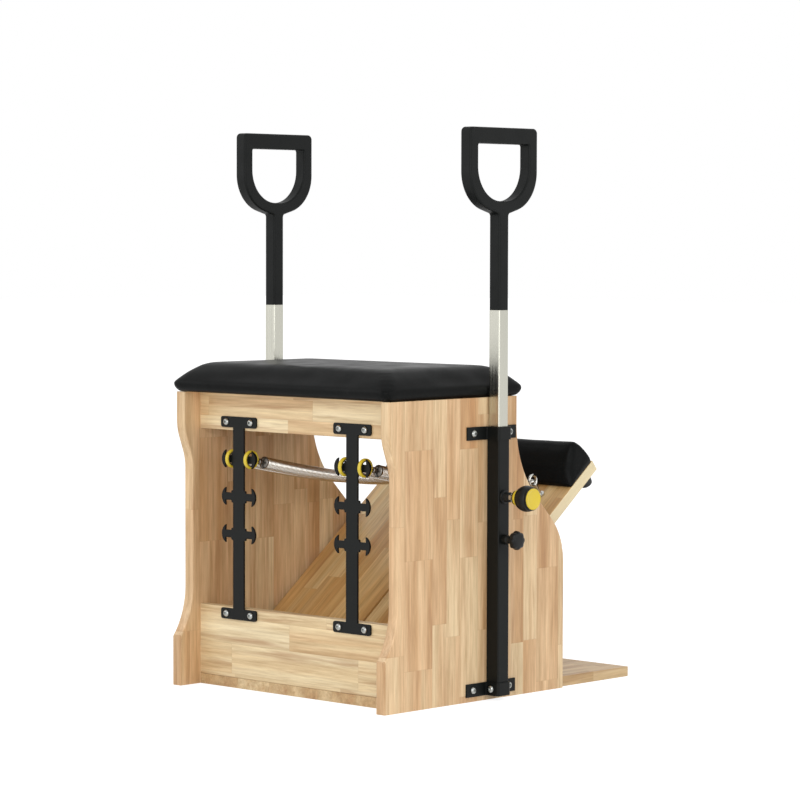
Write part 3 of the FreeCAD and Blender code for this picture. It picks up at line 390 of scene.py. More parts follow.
@dataclass(frozen=True)
class Moulded(Crested):
    """Moulded plastic, rubber or powder coat: a fine even tooth, with a painted highlight that makes its crests
    lighter.
    """

    # The tooth is a few tenths of a millimetre; drawn coarser so that it shows
    tooth: float = 1.5 * MM
    relief: float = 0.1
    patch: float = 40 * MM

    def paint(self, tree: Tree, shader: Node) -> None:
        """Add the tooth to the surface, a painted highlight on its crests and a little unevenness to its gloss."""
        place = add_node(tree, "TexCoord").outputs["Object"]
        tooth = add_node(tree, "TexNoise", {"Vector": place, "Scale": 1 / self.tooth, "Detail": 2.0}).outputs[0]
        self.emboss(tree, shader, tooth, strength=self.relief, depth=0.3 * MM)
        # Painted highlight: the tooth's crests are coloured lighter
        self.paint_crest_highlight(tree, shader, tooth)
        patches = add_node(tree, "TexNoise", {"Vector": place, "Scale": 1 / self.patch}).outputs[0]
        self.vary_gloss(tree, shader, patches, low=self.roughness - 0.06, high=self.roughness + 0.06)


@dataclass(frozen=True)
class Metal(Finish):
    """Bare or plated metal, with polishing marks drawn out along one direction."""

    metallic: float = 1.0
    # Polishing marks are hundredths of a millimetre wide; drawn 3 mm wide so that they show
    mark: tuple[float, float, float] = (1 / (3 * MM), 1 / (3 * MM), 1 / (3 * MM))

    def paint(self, tree: Tree, shader: Node) -> None:
        """Vary the gloss along the polishing marks."""
        place = add_node(tree, "TexCoord").outputs["Object"]
        drawn = add_node(tree, "Mapping", {"Vector": place, "Scale": self.mark}).outputs[0]
        marks = add_node(tree, "TexNoise", {"Vector": drawn, "Scale": 1.0, "Detail": 2.0}).outputs[0]
        self.vary_gloss(tree, shader, marks, low=self.roughness * 0.8, high=self.roughness * 1.25)


PEDAL_SLOPE = math.radians(38.1)
PEDAL_FORWARD = Vector((0.0, -math.cos(PEDAL_SLOPE), math.sin(PEDAL_SLOPE)))
PEDAL_UP = Vector((0.0, math.sin(PEDAL_SLOPE), math.cos(PEDAL_SLOPE)))
SOFT_ANGLE = 60.0  # degrees up to which the edges of a padded piece are smoothed

# Side panels: upright staves from tan to straw, warm and satin
PANEL_WOOD = StaveWood("rubberwood_panel", "stave_wood", "#d3b08a", 0.42)
# Rails: longer staves that lie sideways, paler than the panels
RAIL_WOOD = StaveWood(
    "rubberwood_rail", "stave_wood", "#d8bd8e", 0.42,
    grain=Grain.SIDEWAYS,
    tones=("#cba779", "#dabc90", "#e4cda3", "#ead8b2", "#eee0be"),
    stave_length=300 * MM,
    seed=0.4,
)
# Floor board: duller and greyer staves that run forward
BASE_WOOD = StaveWood(
    "rubberwood_base", "base_wood", "#b5a483", 0.5,
    grain=Grain.FORWARD,
    tones=("#ad8259", "#c2a276", "#d0b68c", "#dcc8a2"),
    contrast=0.4,
    seed=0.7,
)
# Pedals: honey-coloured staves that follow the slope, with a painted highlight that makes their outer sides pale
PEDAL_WOOD = StaveWood(
    "rubberwood_pedal", "stave_wood", "#d0b184", 0.42,
    grain=Grain.FORWARD,
    tones=("#b9824a", "#c7965a", "#d6ae72", "#e0c28c", "#e9d6a6"),
    stave_length=340 * MM,
    tilt=PEDAL_SLOPE,
    seed=0.2,
    side_highlight_beyond=263.2 * MM,
)
# Seat board: plain and dull, almost without joints
SEAT_PLY = StaveWood("birch_plywood", "plywood", "#c2a16f", 0.6, grain=Grain.FORWARD, stave_width=300 * MM)
# Seat and pads: near black, with wide soft highlights on a pebbled skin
SEAT_LEATHER = Leatherette("black_leatherette", "upholstery", "#060707", 0.38, specular=0.07)
# Trees, tubes and straps: an even satin black, a shade lighter than the seat
BLACK_COAT = Moulded("black_powder_coat", "black_steel", "#0a0c0b", 0.42, specular=0.15)
# Grips: dull black with a coarser tooth
GRIP_RUBBER = Moulded(
    "black_grip_rubber", "grip_rubber", "#080a0a", 0.5, specular=0.15, tooth=2.0 * MM, relief=0.15
)
# Knobs: black with a clearer sheen that shows their curves
BLACK_NYLON = Moulded("black_nylon", "black_plastic", "#0a0b0b", 0.36, specular=0.22)
# Rings, collars and caps: a clean mustard yellow, slightly glossy
YELLOW_ABS = Moulded("yellow_abs", "yellow_plastic", "#d4ba2a", 0.36, crest_highlight="#dec438", relief=0.05)
# Bushes: off-white and waxy
BUSH_ACETAL = Moulded("white_acetal", "bush_plastic", "#d2cfc2", 0.4, crest_highlight="#dddacd")
# Bumpers: matt charcoal
BUMPER_RUBBER = Moulded("black_bumper_rubber", "bumper_rubber", "#151515", 0.6, crest_highlight="#222222", relief=0.2)
# Poles: pale silver, with fine marks drawn along them
POLE_METAL = Metal(
    "satin_anodised_aluminium", "silver_tube", "#bfbeb3", 0.24, mark=(1 / (3 * MM), 1 / (3 * MM), 4.0)
)
# Hooks, eyebolts and pins: nearly a mirror, with a trace of warmth
BRIGHT_PLATE = Metal("bright_nickel_plate", "bright_steel", "#c4c3be", 0.18)
# Springs: the brightest metal, a thin highlight on each turn
SPRING_WIRE = Metal("polished_spring_wire", "bright_steel", "#e2e0da", 0.12)
# End cups: dark and dull between a bright spring and a yellow ring
CUP_STEEL = Metal("dark_oiled_steel", "bright_steel", "#6f6a64", 0.3)
# Bolt heads: mid-grey domes with a soft glint
BOLT_ZINC = Metal("zinc_plate", "bright_steel", "#a6a8a5", 0.28)

NODE_FINISHES: dict[Finish, tuple[str, ...]] = {
    PANEL_WOOD: ("side_panel_left", "side_panel_right"),
    RAIL_WOOD: ("top_back_rail", "bottom_back_rail", "front_top_rail"),
    BASE_WOOD: ("base_board",),
    SEAT_PLY: ("seat_board",),
    BLACK_COAT: ("spring_tree_left", "spring_tree_right", "handle_tube_left", "handle_tube_right", "handle_straps"),
    BRIGHT_PLATE: ("hinge_axle",),
    BUSH_ACETAL: ("axle_bushes",),
}
SIDED_FINISHES: dict[Finish, tuple[str, ...]] = {
    PEDAL_WOOD: ("pedal_board",),
    BLACK_COAT: ("hinge_brackets", "clamp_boss"),
    BRIGHT_PLATE: ("plunger_housing", "plunger_pin", "clamp_stud", "bracket_screws", "eyebolts", "spring_hooks"),
    POLE_METAL: ("handle_pole",),
    GRIP_RUBBER: ("handle_grip",),
    BLACK_NYLON: ("pole_plug", "plunger_grip", "clamp_knob"),
    YELLOW_ABS: ("plunger_core",),
    BUSH_ACETAL: ("hinge_bushes",),
    BUMPER_RUBBER: ("pedal_bumper",),
}


def deselect_all() -> None:
    """Leave edit mode and deselect every object."""
    if bpy.context.object is not None and bpy.context.object.mode != "OBJECT":
        bpy.ops.object.mode_set(mode="OBJECT")
    bpy.ops.object.select_all(action="DESELECT")


def activate(piece: Piece) -> None:
    """Make a piece the only selected object and the active one."""
    deselect_all()
    piece.select_set(True)
    bpy.context.view_layer.objects.active = piece


def edit_all() -> None:
    """Enter edit mode on the active piece, with all of it selected."""
    bpy.ops.object.mode_set(mode="EDIT")
    bpy.ops.mesh.select_all(action="SELECT")


def face_outward() -> None:
    """Turn the selected faces outward and leave edit mode."""
    bpy.ops.mesh.normals_make_consistent(inside=False)
    bpy.ops.object.mode_set(mode="OBJECT")


def put_new(name: str, data: bpy.types.ID) -> Piece:
    """Put a new object with the given data into the scene."""
    piece = bpy.data.objects.new(name, data)
    bpy.context.scene.collection.objects.link(piece)
    return piece


def apply_modifiers(piece: Piece) -> None:
    """Apply all modifiers of a piece, in their order."""
    activate(piece)
    for modifier in list(piece.modifiers):
        bpy.ops.object.modifier_apply(modifier=modifier.name)


def settle(piece: Piece, placing: Matrix) -> None:
    """Put a piece in its place and move that place into its mesh."""
    activate(piece)
    piece.matrix_world = placing
    bpy.ops.object.transform_apply(location=True, rotation=True, scale=True)


def dress(piece: Piece, finish: Finish, body: str | None, smooth_angle: float = 40.0) -> Piece:
    """Smooth a new piece, give it its finish and let it ride on its body.

    Args:
        piece: Finished mesh in its place.
        finish: Finish of the piece.
        body: Body that carries it, or None, which leaves the piece on no body.
        smooth_angle: Edges sharper than this stay sharp, in degrees.

    Returns:
        The same piece.
    """
    activate(piece)
    bpy.ops.object.shade_smooth_by_angle(angle=math.radians(smooth_angle))
    piece.data.materials.clear()
    piece.data.materials.append(finish.material())
    if body is not None:
        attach(piece, body)
    LOG.info("%s: %d faces, rides on %s", piece.name, len(piece.data.polygons), body or "two bodies")
    return piece


def frame_along(origin: Vector, along: Vector) -> Matrix:
    """Placing that turns +Z to a direction at an origin."""
    return Matrix.Translation(origin) @ along.to_track_quat("Z", "Y").to_matrix().to_4x4()


def tube_face(side: str, sign: float, knob: str) -> Matrix:
    """Placing of a knob's axis on the outer face of its handle tube, with +Z out of the tube."""
    low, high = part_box(knob + side)
    tube_low, tube_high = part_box("handle_tube_" + side)
    face = tube_high.x if sign > 0 else tube_low.x
    seat = Vector((face, (low.y + high.y) / 2, (low.z + high.z) / 2))
    return frame_along(seat, Vector((sign, 0.0, 0.0)))


def lathe(name: str, profile: Profile, sides: int, weld: float = 0.001 * MM) -> Piece:
    """Turn a profile about +Z: a circle is drawn up through the profile's radii and heights.

    Args:
        name: Name of the piece.
        profile: Pairs of radius and height, from one end to the other.
        sides: Number of sides round the axis.
        weld: Points nearer to each other than this become one.

    Returns:
        The turned mesh at the origin, closed at both ends unless the profile returns to its start.
    """
    deselect_all()
    radius, height = profile[0]
    bpy.ops.mesh.primitive_circle_add(vertices=sides, radius=radius, location=(0.0, 0.0, height))
    piece = bpy.context.object
    piece.name = name
    settle(piece, piece.matrix_world.copy())
    edit_all()
    closed = profile[0] == profile[-1]
    if not closed:
        bpy.ops.mesh.edge_face_add()
        bpy.ops.mesh.select_all(action="SELECT")
    for next_radius, next_height in profile[1:]:
        bpy.ops.mesh.extrude_edges_move()
        bpy.ops.transform.translate(value=(0.0, 0.0, next_height - height))
        share = next_radius / radius
        bpy.ops.transform.resize(value=(share, share, 1.0), center_override=(0.0, 0.0, next_height))
        radius, height = next_radius, next_height
    if not closed:
        bpy.ops.mesh.edge_face_add()
    bpy.ops.mesh.select_all(action="SELECT")
    bpy.ops.mesh.remove_doubles(threshold=weld)
    face_outward()
    return piece


def copy_piece(piece: Piece, name: str, placing: Matrix) -> Piece:
    """Copy a modelled piece, with a mesh of its own, to another place."""
    copied = piece.copy()
    copied.data = piece.data.copy()
    copied.name = name
    bpy.context.scene.collection.objects.link(copied)
    settle(copied, placing)
    return copied


def join(pieces: list[Piece], name: str) -> Piece:
    """Join pieces of one finish into one object."""
    activate(pieces[0])
    for piece in pieces[1:]:
        piece.select_set(True)
    bpy.ops.object.join()
    pieces[0].name = name
    return pieces[0]


def remove(piece: Piece) -> None:
    """Delete a helper piece once it has served."""
    bpy.data.objects.remove(piece)


@dataclass
class Padding:
    """How a padded piece is blown up: a cloth skin under pressure, with its movement capped."""

    voxel: float = 5 * MM
    pressure: float = 4.0
    frames: int = 20
    inset: float = 2 * MM
    cap: float = 4 * MM
    give: float = 1 * MM
    rounding: int = 3
    seat_band: float = 14 * MM
    evening: int = 14
    smoothing: float = 0.5
    quality: int = 5

    def blow_up(self, piece: Piece, seat: Vector, normal: Vector) -> None:
        """Remesh a piece, swell it as foam in a tight cover and keep its seat flat.

        Args:
            piece: Closed mesh of the finished pad.
            seat: Point on the face that the pad rests on.
            normal: Direction out of that face, into the pad.
        """
        activate(piece)
        piece.data.remesh_voxel_size = self.voxel
        bpy.ops.object.voxel_remesh()
        even = piece.modifiers.new("even", "SMOOTH")
        even.factor = self.smoothing
        even.iterations = self.rounding
        apply_modifiers(piece)
        self.simulate(piece, seat, normal)
        skin = piece.modifiers.new("skin", "SUBSURF")
        skin.levels = skin.render_levels = 1
        apply_modifiers(piece)

    def simulate(self, piece: Piece, seat: Vector, normal: Vector) -> None:
        """Draw the skin in, run the cloth and limit how far each point has moved out or in."""
        outward = [vertex.normal.copy() for vertex in piece.data.vertices]
        shares = [
            min(max((vertex.co - seat).dot(normal) / self.seat_band, 0.0), 1.0) for vertex in piece.data.vertices
        ]
        for vertex, out, share in zip(piece.data.vertices, outward, shares):
            vertex.co -= out * (self.inset * share)
        before = [vertex.co.copy() for vertex in piece.data.vertices]
        cloth = piece.modifiers.new("cover", "CLOTH")
        cloth.settings.quality = self.quality
        cloth.settings.use_pressure = True
        cloth.settings.uniform_pressure_force = self.pressure
        cloth.settings.effector_weights.gravity = 0.0
        scene = bpy.context.scene
        for frame in range(1, self.frames + 1):
            scene.frame_set(frame)
        apply_modifiers(piece)
        scene.frame_set(1)
        pushes = [
            min(max((vertex.co - start).dot(out), -self.give), self.cap) * share
            for vertex, start, out, share in zip(piece.data.vertices, before, outward, shares)
        ]
        pushes = self.evened(piece, pushes)
        for vertex, start, out, push in zip(piece.data.vertices, before, outward, pushes):
            vertex.co = start + out * push

    def evened(self, piece: Piece, pushes: list[float]) -> list[float]:
        """Even out the swelling between neighbours, which leaves soft pulls instead of sharp wrinkles.

        Args:
            piece: Swollen mesh.
            pushes: How far each point has moved outwards.

        Returns:
            The evened distances.
        """
        edges = [tuple(edge.vertices) for edge in piece.data.edges]
        for _ in range(self.evening):
            sums = list(pushes)
            counts = [1] * len(pushes)
            for first, second in edges:
                sums[first] += pushes[second]
                sums[second] += pushes[first]
                counts[first] += 1
                counts[second] += 1
            pushes = [total / count for total, count in zip(sums, counts)]
        return pushes


@dataclass
class SeatCushion:
    """Black padded seat with a sloping border, a soft lower roll and a slight crown."""

    padding: Padding = field(default_factory=lambda: Padding(voxel=6 * MM, cap=4 * MM, rounding=9))
    border: float = 50 * MM
    corner: float = 22 * MM
    corner_steps: int = 6
    side_cuts: int = 11
    drawn: float = 5 * MM
    pole_gap: float = 1.2 * MM
    pole_slope: float = 0.1
    # Shares of the height, and of the border's width by which the outline is drawn in there
    levels: tuple[tuple[float, float], ...] = (
        (0.0, 0.12), (0.07, 0.0), (0.17, -0.09), (0.29, -0.12), (0.39, -0.05), (0.54, 0.22), (0.70, 0.54),
        (0.83, 0.80), (0.89, 1.02), (0.91, 1.4), (0.92, 2.0),
    )

    def build(self) -> Piece:
        """Raise the seat's outline through its levels, blow it up and press it in beside the poles."""
        low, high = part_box("seat_cushion")
        size = high - low
        middle = Vector(((low.x + high.x) / 2, (low.y + high.y) / 2, low.z))
        half = Vector((size.x / 2, size.y / 2))
        piece = self.outline(half)
        settle(piece, Matrix.Translation(middle))
        edit_all()
        last_rise, inset = 0.0, 0.0
        for number, (rise, share) in enumerate(self.levels):
            if number > 0:
                bpy.ops.mesh.extrude_region_move()
            bpy.ops.transform.translate(value=(0.0, 0.0, (rise - last_rise) * size.z))
            onward = share * self.border
            shares = ((half.x - onward) / (half.x - inset), (half.y - onward) / (half.y - inset), 1.0)
            bpy.ops.transform.resize(value=shares, center_override=middle)
            last_rise, inset = rise, onward
        bpy.ops.mesh.select_all(action="SELECT")
        face_outward()
        self.padding.blow_up(piece, middle, Vector((0.0, 0.0, 1.0)))
        self.clear_poles(piece)
        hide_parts("seat_cushion")
        return dress(piece, SEAT_LEATHER, "frame", SOFT_ANGLE)

    def outline(self, half: Vector) -> Piece:
        """Flat face with rounded corners and sides that are drawn in between them.

        Args:
            half: Half of the outline's width and depth.

        Returns:
            The face, about the origin.
        """
        deselect_all()
        bpy.ops.mesh.primitive_plane_add(size=2.0)
        piece = bpy.context.object
        piece.name = "seat_cushion_padded"
        piece.scale = (half.x, half.y, 1.0)
        bpy.ops.object.transform_apply(scale=True)
        edit_all()
        bpy.ops.mesh.bevel(offset=self.corner, segments=self.corner_steps, affect="VERTICES")
        bpy.ops.mesh.select_mode(type="EDGE")
        bpy.ops.mesh.select_all(action="DESELECT")
        bpy.ops.object.mode_set(mode="OBJECT")
        for edge in piece.data.edges:
            first, second = (piece.data.vertices[index].co for index in edge.vertices)
            edge.select = (first - second).length > self.corner
        bpy.ops.object.mode_set(mode="EDIT")
        bpy.ops.mesh.subdivide(number_cuts=self.side_cuts)
        bpy.ops.mesh.select_mode(type="VERT")
        bpy.ops.object.mode_set(mode="OBJECT")
        on_side = 0.999
        for vertex in piece.data.vertices:
            shares = (vertex.co.x / half.x, vertex.co.y / half.y)
            for axis, along in ((0, 1), (1, 0)):
                if abs(shares[axis]) > on_side:
                    vertex.co[axis] -= math.copysign(self.drawn * (1 - shares[along] ** 2), shares[axis])
        return piece

    def clear_poles(self, piece: Piece) -> None:
        """Press the sides in where the handle poles stand beside the seat."""
        low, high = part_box("handle_pole_left")
        middle = (low.y + high.y) / 2
        reach = (high.y - low.y) / 2
        for vertex in piece.data.vertices:
            beside = max(0.0, abs(vertex.co.y - middle) - reach)
            limit = low.x - self.pole_gap + self.pole_slope * beside
            if abs(vertex.co.x) > limit:
                vertex.co.x = math.copysign(limit, vertex.co.x)


@dataclass
class FootPad:
    """Black wedge-shaped pad on the front end of one pedal."""

    side: str
    padding: Padding = field(
        default_factory=lambda: Padding(voxel=4 * MM, inset=-3.5 * MM, cap=3 * MM, seat_band=10 * MM)
    )
    weld: float = 0.01 * MM

    def build(self) -> Piece:
        """Take the pad's wedge, make up for its smoothed edges and blow it up."""
        node = "pedal_pad_" + self.side
        source = bpy.data.objects[node]
        piece = put_new("foot_pad_" + self.side, source.data.copy())
        activate(piece)
        edit_all()
        bpy.ops.mesh.remove_doubles(threshold=self.weld)
        bpy.ops.object.mode_set(mode="OBJECT")
        lowest = min(vertex.co.dot(PEDAL_UP) for vertex in piece.data.vertices)
        self.padding.blow_up(piece, PEDAL_UP * lowest, PEDAL_UP)
        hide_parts(node)
        return dress(piece, SEAT_LEATHER, "pedal_" + self.side, SOFT_ANGLE)


@dataclass
class SpringSet:
    """The two springs of one pedal, with their end cups and their yellow rings on the spring tree, each ring's hole
    darkened by a black band of painted shade.
    """

    side: str
    sign: float
    coil_radius: float = 10.5 * MM
    wire: float = 3.4 * MM
    wire_sides: int = 8
    pitch: float = 3.5 * MM
    turn_steps: int = 16
    line_steps: int = 64
    cup_start: float = 32 * MM
    coil_start: float = 37 * MM
    hook_arm: float = 46 * MM
    sag: float = 35 * MM
    sag_share: float = 0.70
    ring_offset: float = 26.5 * MM
    eye_splay: float = 40 * MM
    eye_reach: float = 543 * MM
    eye_rise: float = 52 * MM
    hinge: tuple[float, float] = (225 * MM, 40 * MM)
    ring_radius: float = 19 * MM
    ring_hole: float = 13 * MM
    ring_half: float = 4 * MM
    ring_round: float = 2.2 * MM
    # Black band round each ring's hole: painted shade inside the hole
    bore_shade_wall: float = 1.4 * MM
    bore_shade_round: float = 0.6 * MM
    bore_shade_bite: float = 0.2 * MM
    rim_steps: int = 4
    ring_sides: int = 48
    cup_sides: int = 32
    wire_angle: float = 80.0

    def build(self) -> None:
        """Model the rings, the end cups and the wound wire of both springs."""
        low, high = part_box("spring_tree_" + self.side)
        tree_x = (low.x + high.x) / 2
        _, rings_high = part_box("spring_rings")
        ring_y = rings_high.y - self.ring_radius
        ring_z = rings_high.z - self.ring_radius
        bore = self.ring_hole + self.bore_shade_wall
        ring = self.ring_pattern("ring_pattern", self.ring_radius, bore - self.bore_shade_bite, self.ring_round)
        bore_shade = self.ring_pattern("bore_shade_pattern", bore, self.ring_hole, self.bore_shade_round)
        cup = self.cup_pattern()
        for place, out in (("inner", -self.sign), ("outer", self.sign)):
            stem = "%s_%s" % (self.side, place)
            centre = Vector((tree_x + out * self.ring_offset, ring_y, ring_z))
            eye = self.eye(tree_x + out * self.eye_splay)
            control = centre + (eye - centre) * self.sag_share - Vector((0.0, 0.0, self.sag))
            lead = (control - centre).normalized()
            start = centre + lead * self.coil_start
            end = eye + (control - eye).normalized() * self.hook_arm
            facing = frame_along(centre, Vector((1.0, 0.0, 0.0)))
            hung = dress(copy_piece(ring, "spring_ring_" + stem, facing), YELLOW_ABS, "frame")
            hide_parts("spring_rings")
            # Painted shade: a black band lines the ring's hole
            dress(copy_piece(bore_shade, "ring_bore_shade_" + stem, facing), BLACK_NYLON, "frame")
            dress(copy_piece(cup, "spring_cup_" + stem, frame_along(centre, lead)), CUP_STEEL, "frame")
            coil = self.coil("coil_spring_" + stem, start, control, end)
            dress(coil, SPRING_WIRE, None, self.wire_angle)
            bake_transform(coil)
            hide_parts("spring_" + stem)
        for pattern in (ring, bore_shade, cup):
            remove(pattern)

    def eye(self, place_x: float) -> Vector:
        """Middle of an eyebolt's eye on the pedal at rest."""
        return Vector((place_x, *self.hinge)) + PEDAL_FORWARD * self.eye_reach + PEDAL_UP * self.eye_rise

    def ring_pattern(self, name: str, outer: float, hole: float, rim: float) -> Piece:
        """Ring with rounded rims, about +Z at the origin.

        Args:
            name: Name of the piece.
            outer: Outer radius.
            hole: Radius of the hole.
            rim: Rounding of the rims.

        Returns:
            The ring.
        """
        half = self.ring_half
        section = []
        corners = ((outer, half, 0.0), (hole, half, 90.0), (hole, -half, 180.0), (outer, -half, 270.0))
        for radius, height, first in corners:
            middle_r = radius + (-rim if radius == outer else rim)
            middle_z = height + (-rim if height > 0 else rim)
            for step in range(self.rim_steps + 1):
                turn = math.radians(first + step * 90.0 / self.rim_steps)
                section.append((middle_r + rim * math.cos(turn), middle_z + rim * math.sin(turn)))
        section.append(section[0])
        return lathe(name, tuple(section), self.ring_sides)

    def cup_pattern(self) -> Piece:
        """Swivel stem and end cup of a spring, along +Z from the ring's middle."""
        edge = self.coil_radius + self.wire / 2
        swivel = scaled(
            (3.0, 15.0), (3.6, 16.0), (3.6, 20.0), (5.4, 21.0), (6.4, 23.0), (6.4, 26.0), (5.4, 28.0), (4.4, 29.0)
        )
        cup = (
            (4.4 * MM, self.cup_start - 1.0 * MM), (edge - 4.0 * MM, self.cup_start),
            (edge, self.cup_start + 3.0 * MM), (edge + 0.3 * MM, self.coil_start),
            (edge, self.coil_start + 0.6 * MM),
        )
        return lathe("cup_pattern", swivel + cup, self.cup_sides)

    def coil(self, name: str, start: Vector, control: Vector, end: Vector) -> Piece:
        """Wind a round wire and lay it along the spring's sagging line.

        Args:
            name: Name of the piece.
            start: End of the spring at its ring.
            control: Corner that the sagging line is drawn towards.
            end: End of the spring at the pedal.

        Returns:
            The wound spring in its place.
        """
        path = self.path(start, control, end)
        length = path.data.splines[0].calc_length()
        deselect_all()
        bpy.ops.mesh.primitive_circle_add(
            vertices=self.wire_sides,
            radius=self.wire / 2,
            location=(self.coil_radius, 0.0, 0.0),
            rotation=(math.pi / 2, 0.0, 0.0),
        )
        wound = bpy.context.object
        wound.name = name
        settle(wound, wound.matrix_world.copy())
        turns = int(length / self.pitch)
        screw = wound.modifiers.new("winding", "SCREW")
        screw.axis = "Z"
        screw.angle = math.tau
        screw.screw_offset = length / turns
        screw.iterations = turns
        screw.steps = screw.render_steps = self.turn_steps
        screw.use_merge_vertices = False
        bend = wound.modifiers.new("sag", "CURVE")
        bend.object = path
        bend.deform_axis = "POS_Z"
        apply_modifiers(wound)
        edit_all()
        bpy.ops.mesh.fill_holes(sides=self.wire_sides)
        face_outward()
        remove(path)
        return wound

    def path(self, start: Vector, control: Vector, end: Vector) -> Piece:
        """Smooth line from start to end, drawn towards the control point."""
        data = bpy.data.curves.new("spring_line", "CURVE")
        data.dimensions = "3D"
        data.resolution_u = self.line_steps
        line = data.splines.new("BEZIER")
        line.bezier_points.add(1)
        # The handles of a curve with one control point lie two thirds of the way to it
        handles = (start + (control - start) * (2 / 3), end + (control - end) * (2 / 3))
        for point, place, handle in zip(line.bezier_points, (start, end), handles):
            point.handle_left_type = point.handle_right_type = "FREE"
            point.co = place
            point.handle_left = point.handle_right = handle
        line.bezier_points[0].handle_left = start * 2 - handles[0]
        line.bezier_points[1].handle_right = end * 2 - handles[1]
        return put_new("spring_line", data)


@dataclass
class Bolts:
    """Domed bolt heads with a hexagon socket, on the spring trees and the handle straps."""

    head_radius: float = 7.2 * MM
    head_height: float = 4.4 * MM
    head_sides: int = 24
    socket: float = 3.0 * MM
    socket_share: float = 1.08
    socket_reach: float = 1.05
    tree_spread: float = 35 * MM

    def build(self) -> None:
        """Model one head and set copies of it on the trees and the straps."""
        head = self.pattern()
        trees = self.group(head, "tree_bolt_heads", self.tree_places())
        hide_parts("spring_tree_bolts")
        straps = self.group(head, "strap_bolt_heads", self.strap_places())
        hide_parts("strap_bolts")
        remove(head)

    def tree_places(self) -> list[tuple[Vector, Vector]]:
        """Places and outward directions of the heads on the trees' end plates."""
        low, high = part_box("spring_tree_bolts")
        places = []
        for side, _ in SIDES:
            tree_low, tree_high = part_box("spring_tree_" + side)
            for spread in (-self.tree_spread, self.tree_spread):
                for level in (low.z + self.head_radius, high.z - self.head_radius):
                    place = Vector(((tree_low.x + tree_high.x) / 2 + spread, tree_high.y, level))
                    places.append((place, Vector((0.0, 1.0, 0.0))))
        return places

    def strap_places(self) -> list[tuple[Vector, Vector]]:
        """Places and outward directions of the heads on the straps, with one through each tube's foot."""
        low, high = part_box("strap_bolts")
        tube_low, tube_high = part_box("handle_tube_left")
        levels = (low.z + self.head_radius, high.z - self.head_radius)
        strap_face = high.x - self.head_height
        strap_thick = strap_face - tube_low.x
        places = []
        for _, sign in SIDES:
            for place_y in (low.y + self.head_radius, high.y - self.head_radius):
                for level in levels:
                    places.append((Vector((sign * strap_face, place_y, level)), Vector((sign, 0.0, 0.0))))
            tube_x = sign * (tube_low.x + tube_high.x) / 2
            places.append((Vector((tube_x, tube_high.y + strap_thick, levels[0])), Vector((0.0, 1.0, 0.0))))
        return places

    @staticmethod
    def group(head: Piece, name: str, places: list[tuple[Vector, Vector]]) -> Piece:
        """Copy the head to each place, join the copies and dress them."""
        heads = [
            copy_piece(head, "%s_%d" % (name, number), frame_along(*place)) for number, place in enumerate(places)
        ]
        return dress(join(heads, name), BOLT_ZINC, "frame")

    def pattern(self) -> Piece:
        """One domed head on the plane z = 0, with a hexagon socket sunk into it."""
        rim = self.head_radius
        top = self.head_height
        profile = (
            (rim * 0.98, 0.0), (rim, top * 0.12), (rim * 0.97, top * 0.34), (rim * 0.86, top * 0.66),
            (rim * 0.7, top * 0.88), (rim * 0.56, top), (self.socket, top), (self.socket, top * 0.35),
        )
        head = lathe("bolt_pattern", profile, self.head_sides)
        for vertex in head.data.vertices:
            flat = Vector((vertex.co.x, vertex.co.y))
            if flat.length < self.socket * self.socket_reach:
                corner = math.atan2(flat.y, flat.x) % (math.pi / 3) - math.pi / 6
                vertex.co.xy = flat * (math.cos(math.pi / 6) / math.cos(corner) * self.socket_share)
        return head


@dataclass
class PullKnob:
    """Pull-pin knob of one handle: black flange and bright neck, yellow collar, black barrel, yellow cap."""

    side: str
    sign: float
    sides: int = 56
    flange: Profile = scaled(
        (13.5, 0.0), (13.5, 3.2), (12.8, 4.3), (10.6, 4.8), (10.0, 6.0), (10.0, 16.2), (9.4, 17.4), (8.0, 17.6),
    )
    neck: Profile = scaled(
        (8.0, 17.0), (8.0, 22.4), (7.4, 22.8), (7.4, 24.0), (8.0, 24.4), (8.0, 28.6), (7.2, 29.2), (7.2, 34.2),
    )
    washer: Profile = scaled(
        (8.4, 30.0), (13.2, 30.0), (14.2, 30.8), (14.2, 33.0), (13.2, 33.8), (8.4, 33.8), (8.4, 30.0),
    )
    collar: Profile = scaled(
        (11.0, 34.4), (14.4, 34.6), (16.0, 35.5), (16.5, 37.1), (16.5, 42.6),
    )
    barrel: Profile = scaled(
        (15.6, 42.4), (18.0, 42.6), (19.6, 43.6), (22.2, 46.8), (24.6, 51.7), (25.7, 56.1), (26.0, 59.6),
        (25.6, 63.9), (24.6, 67.7), (23.5, 70.5), (22.9, 71.4), (21.9, 71.7), (21.9, 72.7), (22.7, 73.1),
        (22.6, 74.3), (21.8, 74.9), (20.4, 75.0),
    )
    cap: Profile = scaled(
        (20.6, 74.6), (21.0, 75.2), (21.0, 76.4), (20.4, 77.4), (18.8, 77.7), (17.6, 77.5), (17.0, 77.0), (16.2, 76.8),
    )

    def build(self) -> None:
        """Turn the pieces about the knob's axis, put each on its body and hide the nodes that they replace."""
        placing = tube_face(self.side, self.sign, "plunger_core_")
        moving = "plunger_" + self.side
        pieces = (
            ("flange", self.flange, BLACK_NYLON, "frame", "plunger_housing_"),
            ("neck", self.neck, BRIGHT_PLATE, "frame", None),
            ("washer", self.washer, BLACK_NYLON, moving, None),
            ("collar", self.collar, YELLOW_ABS, moving, "plunger_core_"),
            ("barrel", self.barrel, BLACK_NYLON, moving, "plunger_grip_"),
            ("cap", self.cap, YELLOW_ABS, moving, None),
        )
        for stem, profile, finish, body, node in pieces:
            piece = lathe("pull_%s_%s" % (stem, self.side), profile, self.sides)
            settle(piece, placing)
            dress(piece, finish, body)
            if node is not None:
                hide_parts(node + self.side)


